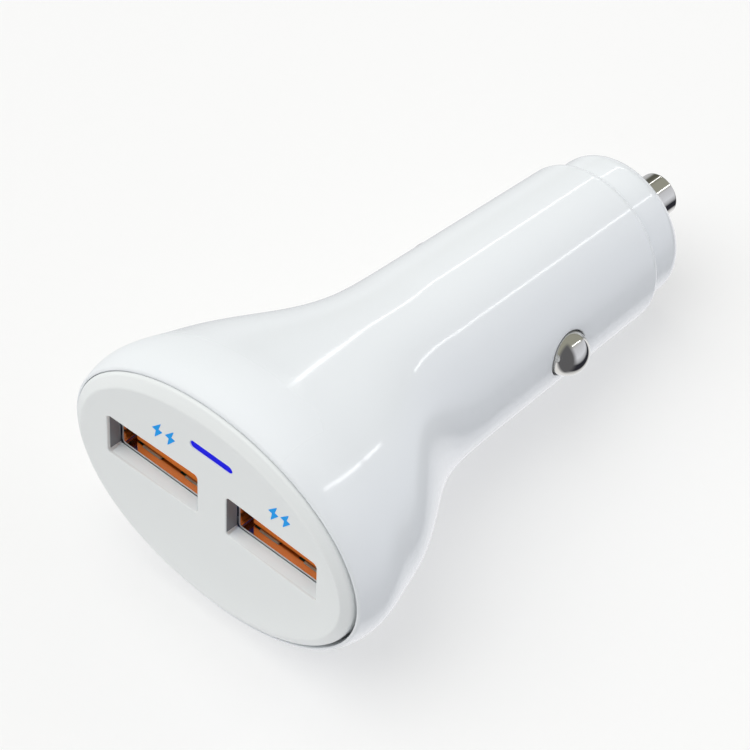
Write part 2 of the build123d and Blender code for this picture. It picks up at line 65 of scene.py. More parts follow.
MERGE_DISTANCE = 1e-7
PLATE_TOLERANCE = 1e-7
BOARD_GAP = 0.2 * MM
FLANGE_MARGIN = 0.65 * MM
FLANGE = 0.8 * MM
PIN_RADIUS = 2.55 * MM
LIGHT_Z = 7.7 * MM
LIGHT_HEIGHT = 1.0 * MM
EDGE_ROUNDING = 0.1 * MM
STEP_ROUNDING = 0.05 * MM
LOG = logging.getLogger("plug")

Array = np.ndarray
Pair = tuple[float, float]
Triple = tuple[float, float, float]


# Curves and grids

def smooth_curve(knots: Array, values: Array, places: Array) -> Array:
    """Cubic curve through the knots, with no bend at its start and level at its end.

    It is a line plus one cube that starts at each knot but the last; their weights are solved from
    the values at the knots and the slope of zero at the end.

    Args:
        knots: Rising places of the knots.
        values: Value at each knot.
        places: Places to read.

    Returns:
        The curve's value at each place.
    """
    def terms(x: Array) -> Array:
        """Line and cubes at each place, one column each."""
        return np.stack([np.ones_like(x), x, *np.maximum(x - knots[:-1, None], 0) ** 3], 1)

    end_slope = np.array([0, 1, *3 * (knots[-1] - knots[:-1]) ** 2])
    weights = np.linalg.solve(np.vstack([terms(knots), end_slope]), np.append(values, 0))
    return terms(places) @ weights


def rounded_path(corners: Sequence[Sequence[float]], radii: Sequence[float], steps: int = 6) -> Array:
    """Open path of straight runs whose inner corners are turned into arcs.

    At each corner the arc starts and ends where a circle of the given radius touches the two runs,
    and its points are the circle's centre plus the radius turned evenly between those two places.

    Args:
        corners: Corner points, two numbers each.
        radii: Radius for each corner; zero keeps it sharp.
        steps: Spans of each arc.

    Returns:
        Points of the path, one row each.
    """
    corners = np.asarray(corners, float)
    path = [corners[:1]]
    share = np.linspace(0, 1, steps + 1)[:, None]
    for before, corner, after, radius in zip(corners, corners[1:], corners[2:], radii[1:]):
        if radius <= 0:
            path.append(corner[None])
            continue
        back, ahead = ((end - corner) / np.linalg.norm(end - corner) for end in (before, after))
        half = np.arccos(np.clip(back @ ahead, -1, 1)) / 2
        centre = corner + (back + ahead) / np.linalg.norm(back + ahead) * radius / np.sin(half)
        start, end = (corner + way * radius / np.tan(half) - centre for way in (back, ahead))
        sweep = np.pi - 2 * half
        arc = (np.sin((1 - share) * sweep) * start + np.sin(share * sweep) * end) / np.sin(sweep)
        path.append(centre + arc)
    return np.concatenate([*path, corners[-1:]])


def rounded_rectangle(width: float, height: float, corner: float, steps: int = 8) -> Array:
    """Closed outline of a rectangle with round corners, anticlockwise round the origin.

    Each quarter is a corner's centre plus the corner radius turned through 90 degrees.

    Args:
        width: Full width.
        height: Full height.
        corner: Corner radius.
        steps: Spans of each corner.

    Returns:
        Points of the outline, one row each.
    """
    angle = (np.arange(4)[:, None] + np.linspace(0, 1, steps + 1)) * np.pi / 2
    side = np.array([[1, 1], [-1, 1], [-1, -1], [1, -1]])[:, None]
    centres = side * (np.array([width, height]) / 2 - corner)
    return (centres + corner * np.stack([np.cos(angle), np.sin(angle)], -1)).reshape(-1, 2)


def oval(half_width: Array, half_height: Array, along: Array, steps: int) -> Array:
    """Grid of ovals: half width times cosine on X and half height times sine on Z.

    Args:
        half_width: Half width of each row.
        half_height: Half height of each row.
        along: Place of each row along Y.
        steps: Points on each oval.

    Returns:
        Grid of points, one row for each oval.
    """
    angle = np.arange(steps) / steps * TURN
    x, z = half_width[:, None] * np.cos(angle), half_height[:, None] * np.sin(angle)
    return np.stack([x, np.broadcast_to(along[:, None], x.shape), z], -1)


class Spin(Enum):
    """Axis that a turned piece is made about."""

    ALONG_PLUG = 1
    ACROSS_PLUG = 0


@dataclass
class Draft:
    """Points and faces of one piece, gathered block by block before they become a mesh."""

    points: list[Array] = field(default_factory=list)
    faces: list[Array] = field(default_factory=list)
    count: int = 0

    def add_points(self, points: Array) -> Array:
        """Add points of any grid shape.

        Args:
            points: Array whose last axis holds x, y and z.

        Returns:
            Index of each point, in the grid's shape.
        """
        index = self.count + np.arange(points[..., 0].size).reshape(points.shape[:-1])
        self.points.append(points.reshape(-1, 3))
        self.count += index.size
        return index

    def join(self, index: Array, keep: Optional[Array] = None) -> None:
        """Join neighbours of an index grid by four-sided faces, in all cells or in those to keep."""
        cells = np.stack([index[:-1, :-1], index[:-1, 1:], index[1:, 1:], index[1:, :-1]], -1)
        self.faces.append(cells.reshape(-1, 4) if keep is None else cells[keep])

    def add_grid(self, points: Array, closed: bool = True) -> Array:
        """Add a grid of points and its faces.

        Args:
            points: Grid of rows and columns of points.
            closed: Whether the last column joins the first.

        Returns:
            Index of each point.
        """
        index = self.add_points(points)
        self.join(np.concatenate([index, index[:, :1]], 1) if closed else index)
        return index

    def add_prism(self, loops: Sequence[Array]) -> None:
        """Add a closed run of loops of points, with a face on its first and on its last loop."""
        index = self.add_grid(np.stack(loops))
        self.faces.extend([index[:1], index[-1:]])

    def add_bar(self, rows: Sequence[Sequence[float]], x: float, z: float) -> None:
        """Add a closed bar: round-cornered outlines carried along Y.

        Args:
            rows: Place along Y, width, height, corner radius and middle height of each outline.
            x: Middle of the bar.
            z: Height that the rows count from.
        """
        self.add_prism([
            np.insert(rounded_rectangle(width, height, corner) + (x, z + lift), 1, y, axis=1)
            for y, width, height, corner, lift in rows
        ])

    def add_turned(self, profile: Array, spin: Spin, centre: Triple = (0, 0, 0), steps: int = 128) -> None:
        """Add a turned shape: each profile point runs round the axis on a circle.

        A point is the centre, plus the profile's second number along the axis, plus its first number
        times cosine and sine of the angle on the two other axes.

        Args:
            profile: Radius and place along the axis, one row each.
            spin: Axis of the shape.
            centre: Point on the axis.
            steps: Points on each circle.
        """
        angle = np.arange(steps) / steps * TURN
        grid = np.empty((len(profile), steps, 3))
        first, second = (axis for axis in range(3) if axis != spin.value)
        grid[..., spin.value] = profile[:, 1:]
        grid[..., first] = profile[:, :1] * np.cos(angle)
        grid[..., second] = profile[:, :1] * np.sin(angle)
        self.add_grid(grid + np.asarray(centre))

    def add_plate(
        self,
        loops: Sequence[Array],
        level: Callable[[Array], Array],
        free: Callable[[Array], Array],
        inner: Sequence[Array] = (),
    ) -> None:
        """Fill the space between an outer loop and the openings with triangles.

        Args:
            loops: Outlines in X and Z, the outer one first.
            level: Place along Y for points in X and Z.
            free: Which points in X and Z stay free of faces.
            inner: More points in X and Z for the triangles to pass through.
        """
        flat = np.concatenate([*loops, *inner])
        starts = np.cumsum([0] + [len(loop) for loop in loops])
        edges = [
            (int(start + step), int(start + (step + 1) % len(loop)))
            for start, loop in zip(starts, loops)
            for step in range(len(loop))
        ]
        scaled = [Vector(point) for point in flat / MM]
        found, _, faces, *_ = delaunay_2d_cdt(scaled, edges, [], 0, PLATE_TOLERANCE)
        found, faces = np.array([tuple(point) for point in found]) * MM, np.array(faces)
        index = self.add_points(np.insert(found, 1, level(found), axis=1))
        self.faces.append(index[faces[~free(found[faces].mean(1))]])

    def mesh(self, name: str) -> Mesh:
        """Turn the draft into a mesh with merged seams, outward faces and smooth shading.

        Args:
            name: Name of the mesh.

        Returns:
            The finished mesh.
        """
        mesh = bpy.data.meshes.new(name)
        points = np.concatenate(self.points)
        corners = np.concatenate([block.ravel() for block in self.faces])
        sizes = np.concatenate([np.full(len(block), block.shape[1]) for block in self.faces])
        mesh.vertices.add(len(points))
        mesh.vertices.foreach_set("co", points.astype(np.float32).ravel())
        mesh.loops.add(len(corners))
        mesh.loops.foreach_set("vertex_index", corners.astype(np.int32))
        mesh.polygons.add(len(sizes))
        mesh.polygons.foreach_set("loop_start", (np.cumsum(sizes) - sizes).astype(np.int32))
        mesh.update(calc_edges=True)
        work = bmesh.new()
        work.from_mesh(mesh)
        bmesh.ops.remove_doubles(work, verts=work.verts, dist=MERGE_DISTANCE)
        loose = [vertex for vertex in work.verts if not vertex.link_faces]
        bmesh.ops.delete(work, geom=loose, context="VERTS")
        bmesh.ops.recalc_face_normals(work, faces=work.faces)
        work.to_mesh(mesh)
        work.free()
        mesh.shade_smooth()
        mesh.set_sharp_from_angle(angle=SHARP_ANGLE)
        return mesh

    def place(self, name: str, body: str, slot: str, finish: Material, *stands_for: str) -> None:
        """Make the draft a piece of the scene, as place_piece says."""
        place_piece(self.mesh(name), body, finish, stands_for)


def add_object(data: ID) -> Object:
    """Put data into the scene as an object of the same name.

    Args:
        data: A mesh, a light or a camera.

    Returns:
        The new object.
    """
    thing = bpy.data.objects.new(data.name, data)
    bpy.context.scene.collection.objects.link(thing)
    return thing


def place_piece(mesh: Mesh, body: str, finish: Material, stands_for: Sequence[str]) -> Object:
    """Put a finished mesh into the scene as a piece that rides on a body.

    Args:
        mesh: The piece's mesh.
        body: Body that carries it.
        finish: Material of the piece.
        stands_for: Nodes that the piece replaces.

    Returns:
        The new object.
    """
    piece = add_object(mesh)
    mesh.materials.append(finish)
    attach(piece, body)
    if stands_for:
        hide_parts(*stands_for)
    LOG.info("%s: %d faces on %s", piece.name, len(mesh.polygons), body)
    return piece


# Shader graphs

def math_node(operation: str, swapped: bool = False) -> Callable[..., "Wire"]:
    """Make a method of Wire that adds a Math node.

    Args:
        operation: The node's operation.
        swapped: Whether the wire is the second term.

    Returns:
        The method, which takes the other term.
    """
    def add_node(wire: "Wire", other: "Term" = 0) -> "Wire":
        """Add the node on the wire and the other term."""
        terms = (other, wire) if swapped else (wire, other)
        return wire.graph.node("ShaderNodeMath", {"operation": operation}, dict(enumerate(terms)))

    return add_node


@dataclass
class Wire:
    """A shader socket that takes part in Python sums; each sum adds a Math node."""

    graph: "Graph"
    socket: NodeSocket

    __add__, __radd__ = math_node("ADD"), math_node("ADD", True)
    __sub__, __rsub__ = math_node("SUBTRACT"), math_node("SUBTRACT", True)
    __mul__, __rmul__ = math_node("MULTIPLY"), math_node("MULTIPLY", True)
    __truediv__, __gt__ = math_node("DIVIDE"), math_node("GREATER_THAN")
    low, high = math_node("MINIMUM"), math_node("MAXIMUM")
    size, wave = math_node("ABSOLUTE"), math_node("SINE")

    def held(self) -> "Wire":
        """Value kept between zero and one."""
        return self.high(0).low(1)


Term = Union[Wire, float, Sequence[float]]


class Graph:
    """Node tree of one material, or of the surroundings, with its main shader."""

    def __init__(self, owner: Union[Material, World]) -> None:
        """Give the owner a main shader and its output.

        Args:
            owner: Material or world that gets the nodes.
        """
        sky = isinstance(owner, World)
        self.owner = owner
        owner.use_nodes = True
        self.tree = owner.node_tree
        self.tree.nodes.clear()
        self.shader = self.tree.nodes.new("ShaderNodeBackground" if sky else "ShaderNodeBsdfPrincipled")
        output = self.tree.nodes.new("ShaderNodeOutputWorld" if sky else "ShaderNodeOutputMaterial")
        self.tree.links.new(self.shader.outputs[0], output.inputs[0])

    @classmethod
    def skin(cls, name: str) -> "Graph":
        """Graph of a new material."""
        return cls(bpy.data.materials.new(name))

    def _feed(self, socket: NodeSocket, term: Term) -> None:
        """Link a socket to a wire, or set its value; a colour gets full cover.

        Args:
            socket: Input of a node.
            term: Wire or value.
        """
        if isinstance(term, Wire):
            self.tree.links.new(term.socket, socket)
        else:
            socket.default_value = (*term, 1.0) if socket.type == "RGBA" else term

    def node(
        self,
        kind: str,
        settings: Optional[dict] = None,
        inputs: Optional[dict] = None,
        output: Union[int, str] = 0,
    ) -> Wire:
        """Add a node.

        Args:
            kind: Type of the node.
            settings: Properties that are set first.
            inputs: Value or link of each socket, by name or number.
            output: Socket that is returned.

        Returns:
            The wrapped output socket.
        """
        node = self.tree.nodes.new(kind)
        for key, value in (settings or {}).items():
            setattr(node, key, value)
        for key, term in (inputs or {}).items():
            self._feed(node.inputs[key], term)
        return Wire(self, node.outputs[output])

    def surface(self, inputs: dict[str, Term]) -> Union[Material, World]:
        """Feed the main shader.

        Args:
            inputs: Value or link of each socket.

        Returns:
            The owner.
        """
        for key, term in inputs.items():
            self._feed(self.shader.inputs[key], term)
        return self.owner

    def place(self) -> Wire:
        """Object coordinates."""
        return self.node("ShaderNodeTexCoord", output="Object")

    def split(self, vector: Wire) -> tuple[Wire, Wire, Wire]:
        """X, Y and Z of a vector."""
        return tuple(self.node("ShaderNodeSeparateXYZ", inputs={0: vector}, output=axis) for axis in "XYZ")

    def stretched(self, scale: Triple) -> Wire:
        """Object coordinates scaled along each axis."""
        return self.node("ShaderNodeVectorMath", {"operation": "MULTIPLY"}, {0: self.place(), 1: scale})

    def noise(self, scale: float, detail: float = 2.0, vector: Optional[Wire] = None) -> Wire:
        """Noise from zero to one; the scale is in patches per metre."""
        inputs = {"Vector": vector or self.place(), "Scale": scale, "Detail": detail}
        return self.node("ShaderNodeTexNoise", inputs=inputs)

    def mix(self, share: Term, first: Term, second: Term) -> Wire:
        """Colour between two colours."""
        return self.node("ShaderNodeMix", {"data_type": "RGBA"}, {0: share, 6: first, 7: second}, 2)

    def bump(self, height: Wire, depth: float) -> Wire:
        """Normal that follows a height given from zero to one, with its depth in metres."""
        return self.node("ShaderNodeBump", inputs={"Strength": 1.0, "Distance": depth, "Height": height})


@dataclass(frozen=True)
class MouldedPlastic:
    """Moulded plastic: a slow change of tint, a fine grain and uneven polish.

    A dull rim adds roughness and takes off the coat towards the front and the left.
    """

    name: str
    colour: Triple
    tint: Triple
    roughness: float
    roughness_spread: float = 0.03
    grain_scale: float = 9000.0
    grain_depth: float = 0.0000005
    cloud_scale: float = 90.0
    polish_scale: float = 700.0
    coat: float = 0.0
    coat_roughness: float = 0.03
    dull_rim: float = 0.0
    dull_from: Pair = (12.0 * MM, 9.5 * MM)
    dull_fade: Pair = (5.0 * MM, 3.0 * MM)

    def make(self) -> Material:
        """Build the material.

        Returns:
            The material.
        """
        graph = Graph.skin(self.name)
        cloud, polish = graph.noise(self.cloud_scale, 3), graph.noise(self.polish_scale, 4)
        roughness, coat = self.roughness + self.roughness_spread * (polish - 0.5), self.coat
        if self.dull_rim:
            leftward, forward = (
                ((start - axis) / fade).held()
                for axis, start, fade in zip(graph.split(graph.place()), self.dull_from, self.dull_fade)
            )
            dull = leftward * forward
            roughness = roughness + self.dull_rim * dull
            coat = coat - coat * dull
        return graph.surface({
            "Base Color": graph.mix(cloud, self.colour, self.tint),
            "Roughness": roughness,
            "Normal": graph.bump(graph.noise(self.grain_scale), self.grain_depth),
            "Coat Weight": coat,
            "Coat Roughness": self.coat_roughness,
            "IOR": 1.5,
        })


@dataclass(frozen=True)
class PlatedMetal:
    """Polished or brushed metal: streaks along one axis, a little tarnish and fine wear."""

    name: str
    colour: Triple
    tarnish: Triple
    roughness: float
    streak: Triple = (1.0, 1.0, 1.0)
    streak_scale: float = 1500.0
    streak_depth: float = 0.0000004
    cloud_scale: float = 260.0
    roughness_spread: float = 0.06

    def make(self) -> Material:
        """Build the material.

        Returns:
            The material.
        """
        graph = Graph.skin(self.name)
        cloud = graph.noise(self.cloud_scale, 4)
        streaks = graph.noise(self.streak_scale, 3, graph.stretched(self.streak))
        return graph.surface({
            "Base Color": graph.mix(cloud, self.colour, self.tarnish),
            "Metallic": 1.0,
            "Roughness": self.roughness + self.roughness_spread * (streaks - 0.5).high(-0.3),
            "Normal": graph.bump(streaks, self.streak_depth),
        })


@dataclass(frozen=True)
class LitAcrylic:
    """Acrylic bar with a lamp behind it: brightest along its middle."""

    name: str
    colour: Triple
    strength: float
    middle_height: float = LIGHT_Z
    half_height: float = LIGHT_HEIGHT / 2
    cloud_scale: float = 900.0
    edge_loss: float = 0.45

    def make(self) -> Material:
        """Build the material.

        Returns:
            The material.
        """
        graph = Graph.skin(self.name)
        edge = ((graph.split(graph.place())[2] - self.middle_height).size() / self.half_height).low(1)
        cloud = graph.noise(self.cloud_scale)
        glow = (1 - self.edge_loss * edge * edge) * (0.9 + 0.2 * cloud)
        deep, dark = (tuple(part * share for part in self.colour) for share in (0.1, 0.35))
        return graph.surface({
            "Base Color": graph.mix(cloud, deep, dark),
            "Roughness": 0.45 + 0.06 * cloud,
            "Specular IOR Level": 0.1,
            "Emission Color": graph.mix(glow, dark, self.colour),
            "Emission Strength": self.strength,
        })


@dataclass(frozen=True)
class PrintedInk:
    """Thin printed colour with a faintly mottled cover from edge to edge."""

    name: str
    colour: Triple
    thin: Triple
    mottle_scale: float = 6000.0
    mottle_depth: float = 0.000001

    def make(self) -> Material:
        """Build the material.

        Returns:
            The material.
        """
        graph = Graph.skin(self.name)
        mottle = graph.noise(self.mottle_scale, 3)
        return graph.surface({
            "Base Color": graph.mix(mottle, self.colour, self.thin),
            "Roughness": 0.45 + 0.1 * mottle,
            "Specular IOR Level": 0.15,
            "Normal": graph.bump(mottle, self.mottle_depth),
        })


@dataclass(frozen=True)
class BackLitPaper:
    """Pale paper over a light table, faintly uneven; on the socket sills the same glow is painted light that
    brightens the shaded recess floors.
    """

    name: str
    colour: Triple
    glow: Triple
    fibre_scale: float = 900.0
    fibre_lift: float = 1.02

    def make(self) -> Material:
        """Build the material.

        Returns:
            The material.
        """
        graph = Graph.skin(self.name)
        fibre = graph.noise(self.fibre_scale, 3)
        lifted = tuple(part * self.fibre_lift for part in self.colour)
        return graph.surface({
            "Base Color": graph.mix(fibre, self.colour, lifted),
            "Roughness": 0.8 + 0.1 * fibre,
            "Emission Color": self.glow,
            "Emission Strength": 1.0,
        })


@dataclass(frozen=True)
class CircuitLaminate:
    """Green board: darker bare lanes between raised copper tracks under the lacquer."""

    name: str
    lacquer: Triple
    track: Triple
    pitch: float
    track_depth: float = 0.00003
    lane_sway: float = 0.004

    def make(self) -> Material:
        """Build the material.

        Returns:
            The material.
        """
        graph = Graph.skin(self.name)
        x, y, _ = graph.split(graph.place())
        rate = TURN / self.pitch
        lanes = rate * (x + self.lane_sway * graph.noise(160, 1)) + (y * rate).wave()
        tracks, weave = lanes.wave() > 0.35, graph.noise(4000)
        return graph.surface({
            "Base Color": graph.mix(tracks, self.lacquer, self.track),
            "Roughness": 0.3 + 0.15 * weave,
            "Normal": graph.bump(tracks * 0.7 + weave * 0.3, self.track_depth),
        })


@dataclass(frozen=True)
class WoundWire:
    """Enamelled wire laid turn on turn round an upright core."""

    name: str
    colour: Triple
    gap: Triple
    pitch: float
    sway: float = 0.0001

    def make(self) -> Material:
        """Build the material.

        Returns:
            The material.
        """
        graph = Graph.skin(self.name)
        height = graph.split(graph.place())[2] + self.sway * graph.noise(500, 1)
        turns = (TURN / self.pitch * height).wave() * 0.5 + 0.5
        return graph.surface({
            "Base Color": graph.mix(turns, self.gap, self.colour),
            "Metallic": 0.7 * turns,
            "Roughness": 0.4 - 0.15 * turns,
            "Normal": graph.bump(turns, self.pitch / 2),
        })


# Sub-assemblies

@dataclass
class Housing:
    """White shell: oval rim, flare, tapered barrel and the two round holes of the side contacts."""

    finish: Material
    flare_length: float = 33.7 * MM
    rim_rounding: float = 0.3 * MM
    rim_inner_rounding: float = 0.12 * MM
    barrel_taper: float = 0.036
    barrel_end_radius: float = 9.73 * MM
    barrel_end_rounding: float = 1.0 * MM
    wall: float = 1.6 * MM
    seam: float = 0.04 * MM
    rim_lip: float = 0.35 * MM
    ledge: float = 0.6 * MM
    ledge_slope: float = 4.0 * MM
    rim_arc_share: float = 0.999
    end_arc_share: float = 0.98
    hole_clearance: float = 0.15 * MM
    hole_edge: float = 0.15 * MM
    patch_half: float = 5.0 * MM
    patch_columns: int = 20
    hole_cells: int = 12
    outer_rows: tuple[int, int, int] = (110, 12, 20)
    inner_rows: tuple[int, int, int] = (8, 6, 30)
    steps: int = 240
    overhang_shares: tuple[Triple, ...] = (
        (0.000, 1.000, 1.000),
        (0.050, 1.050, 1.332),
        (0.110, 1.076, 1.423),
        (0.169, 1.043, 1.350),
        (0.243, 0.959, 1.155),
        (0.347, 0.832, 0.888),
        (0.466, 0.596, 0.634),
        (0.585, 0.306, 0.410),
        (0.703, 0.097, 0.227),
        (0.822, 0.015, 0.071),
        (0.911, 0.006, 0.000),
        (1.000, 0.000, 0.000),
    )

    def __post_init__(self) -> None:
        """Read the places that the frame gives."""
        low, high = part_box("housing")
        self.rim, self.barrel_end = low[1], high[1]
        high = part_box("front_panel")[1]
        self.panel_half = np.array([high[0], high[2]])
        self.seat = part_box("circuit_board")[0][1] - BOARD_GAP
        low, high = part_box("right_contact")
        self.contact_y = (low[1] + high[1]) / 2
        self.hole_radius = (high[1] - low[1]) / 2 - FLANGE_MARGIN + self.hole_clearance
        self.pad_face = low[0] + FLANGE
        self.hole_low = self.patch_columns - self.hole_cells
        self.hole_high = self.patch_columns + self.hole_cells

    def radius(self, y: Array) -> Array:
        """Outer radius of the tapered barrel."""
        return self.barrel_end_radius + self.barrel_taper * (self.barrel_end - y)

    def flare(self, y: Array) -> list[Array]:
        """Half width and half height of the outside.

        Each is the barrel's radius plus a share of the rim's overhang; the share follows a smooth
        curve through the listed stations and is zero along the barrel.

        Args:
            y: Places along the plug.

        Returns:
            Half widths and half heights.
        """
        knots, *columns = np.array(self.overhang_shares).T
        place = np.clip((y - self.rim) / self.flare_length, 0, 1)
        overhang = self.panel_half + self.seam + self.rim_lip - self.radius(self.rim)
        return [
            self.radius(y) + smooth_curve(knots, column, place) * part
            for column, part in zip(columns, overhang)
        ]

    def _rows(self) -> tuple[Array, slice, slice]:
        """Closed run of ovals: pocket, rim, outside, barrel end, inside.

        Returns:
            Rows of place, half width and half height, and the rows of the outer and the inner patch.
        """
        flare_end, start = self.rim + self.flare_length, self.rim + self.rim_rounding
        patch = np.linspace(-self.patch_half, self.patch_half, 2 * self.patch_columns + 1) + self.contact_y
        flare_rows, neck_rows, end_rows = self.outer_rows
        lead = np.concatenate([
            np.linspace(start, flare_end, flare_rows), np.linspace(flare_end, patch[0], neck_rows)[1:-1],
        ])
        tail = np.linspace(patch[-1], self.barrel_end - self.barrel_end_rounding, end_rows)[1:]
        outside = np.concatenate([lead, patch, tail])
        outer = np.stack([outside, *self.flare(outside)], 1)
        lip = self.seam + self.rim_lip
        front = rounded_path(
            [
                (-self.ledge, self.seat), (self.seam, self.seat), (self.seam, self.rim),
                (lip, self.rim), (lip, start),
            ],
            [0, STEP_ROUNDING, self.rim_inner_rounding, self.rim_rounding * self.rim_arc_share, 0],
        )[:-1]
        front = np.concatenate([front[:, 1:], self.panel_half + front[:, :1]], 1)
        spread = np.ravel(self.flare(np.array([start]))) - self.panel_half - lip
        blend = np.clip((front[:, 0] - self.rim) / self.rim_rounding, 0, 1)
        beyond = front[:, 1] > self.panel_half[0] + self.seam + self.rim_lip / 2
        front[:, 1:] += np.where(beyond, blend, 0)[:, None] * spread
        edge, end = self.barrel_end_radius, self.barrel_end
        tip = rounded_path(
            [(edge, end - self.barrel_end_rounding), (edge, end), (edge - self.wall, end)],
            [0, self.barrel_end_rounding * self.end_arc_share, 0],
            10,
        )[1:, [1, 0, 0]]
        end_rows, neck_rows, flare_rows = self.inner_rows
        lead_in = np.linspace(end, patch[-1], end_rows)[1:-1]
        inside = np.concatenate([
            lead_in,
            patch[::-1],
            np.linspace(patch[0], flare_end, neck_rows)[1:],
            np.linspace(flare_end, self.seat + self.ledge_slope, flare_rows)[1:],
        ])
        inner = np.stack([inside, *self.flare(inside)], 1)
        inner[:, 1:] -= self.wall
        first, size = len(front) + len(lead), len(patch)
        second = len(front) + len(outer) + len(tip) + len(lead_in)
        rows = np.concatenate([front, outer, tip, inner])
        return rows, slice(first, first + size), slice(second, second + size)

    def _patch(self, side: int, inner: bool) -> Array:
        """Square patch of the shell round a contact, whose middle opens into the round hole.

        A cell keeps its direction from the middle; cells between the hole's square and the patch's
        edge are spread between the hole's circle and that edge, and X follows the barrel's radius
        outside or the flat pad inside.

        Args:
            side: 1 for the right side, -1 for the left.
            inner: Whether the patch lies on the inside.

        Returns:
            Grid of points, rows along Y.
        """
        count = self.patch_columns
        shares = np.arange(-count, count + 1) / count
        rows, across = np.meshgrid(shares, shares, indexing="ij")
        steep = np.abs(rows) >= np.abs(across)
        square = np.where(steep, np.abs(rows), np.abs(across))
        ratio = np.where(steep, across, rows) / np.where(steep, np.where(square > 0, rows, 1), across)
        turn = np.pi / 4 * np.where(steep, ratio + 4 * (rows < 0), 2 * np.sign(across) - ratio)
        least = self.hole_cells / count
        share = (np.maximum(square, least) - least) / (1 - least)
        square = np.where(square > 0, square, 1)
        thickness, hole = (self.wall, 0.0) if inner else (0.0, self.hole_edge)
        hole += self.hole_radius
        edge_y = self.contact_y + rows / square * self.patch_half
        edge_angle = across / square * count / self.steps * TURN
        edge_z = (self.radius(edge_y) - thickness) * np.sin(edge_angle)
        y = (self.contact_y + hole * np.cos(turn)) * (1 - share) + edge_y * share
        z = hole * np.sin(turn) * (1 - share) + edge_z * share
        x = np.sqrt(np.maximum((self.radius(y) - thickness) ** 2 - z**2, 0))
        if inner:
            x = np.where(share < 0.999, np.minimum(x, self.pad_face), x)
        return np.stack([side * x, y, z], -1)

    def _line_hole(self, draft: Draft, outer: Array, inner: Array, side: int) -> None:
        """Join the two loops of a hole by a rounded edge and a round wall.

        The edge's rings shrink towards the hole's radius as one minus a sine while they sink below
        the surface as one minus a cosine.

        Args:
            draft: Draft that gets the faces.
            outer: Index patch on the outside.
            inner: Index patch on the inside, with rows in the same order.
            side: 1 for the right side, -1 for the left.
        """
        cells = slice(self.hole_low, self.hole_high + 1)
        outside, inside = (
            np.concatenate([square[0, :-1], square[:-1, -1], square[-1, :0:-1], square[:0:-1, 0]])
            for square in (outer[cells, cells], inner[cells, cells])
        )
        points = np.concatenate(draft.points)[outside]
        turn = np.arctan2(points[:, 2], points[:, 1] - self.contact_y)
        angle = np.linspace(0, np.pi / 2, 6)[1:, None]
        radius = self.hole_radius + self.hole_edge * (1 - np.sin(angle))
        y, z = self.contact_y + radius * np.cos(turn), radius * np.sin(turn)
        x = np.sqrt(self.radius(y) ** 2 - z**2) - self.hole_edge * (1 - np.cos(angle))
        rings = draft.add_points(np.stack([side * x, y, z], -1))
        loop = np.concatenate([outside[None], rings, inside[None]])
        draft.join(np.concatenate([loop, loop[:, :1]], 1))

    def build(self) -> None:
        """Build the shell as one closed grid with two holes."""
        rows, outer, inner = self._rows()
        grid = oval(rows[:, 1], rows[:, 2], rows[:, 0], self.steps)
        span = np.arange(-self.patch_columns, self.patch_columns + 1)
        # Columns of the grid under the patch on each side
        sides = {1: span % self.steps, -1: (self.steps // 2 - span) % self.steps}
        for side, columns in sides.items():
            grid[outer, columns] = self._patch(side, False)
            grid[inner, columns] = self._patch(side, True)[::-1]
        draft = Draft()
        index = draft.add_points(grid)
        keep = np.ones(index.shape, bool)
        for side, columns in sides.items():
            shift = int(side < 0)
            cells = columns[self.hole_low + shift:self.hole_high + shift]
            for part in (outer, inner):
                hole_rows = np.arange(part.start + self.hole_low, part.start + self.hole_high)
                keep[np.ix_(hole_rows, cells)] = False
            self._line_hole(draft, index[outer, columns], index[inner, columns][::-1], side)
        draft.join(np.pad(index, (0, 1), mode="wrap"), keep)
        draft.place("housing_shell", "body", "housing_white", self.finish, "housing")


@dataclass(frozen=True)
class Opening:
    """Round-cornered opening in the front panel."""

    x: float
    z: float
    width: float
    height: float
    corner: float

    def outline(self, wider: float = 0.0) -> Array:
        """Outline in X and Z, grown by a margin all round."""
        loop = rounded_rectangle(self.width + 2 * wider, self.height + 2 * wider, self.corner + wider)
        return loop + (self.x, self.z)

    def holds(self, points: Array, margin: float = 0.0) -> Array:
        """Which points in X and Z lie over the opening or within a margin of it."""
        away = np.abs(points - (self.x, self.z)) - np.array([self.width, self.height]) / 2 + self.corner
        return np.linalg.norm(np.maximum(away, 0), axis=1) + np.minimum(away.max(1), 0) < self.corner + margin


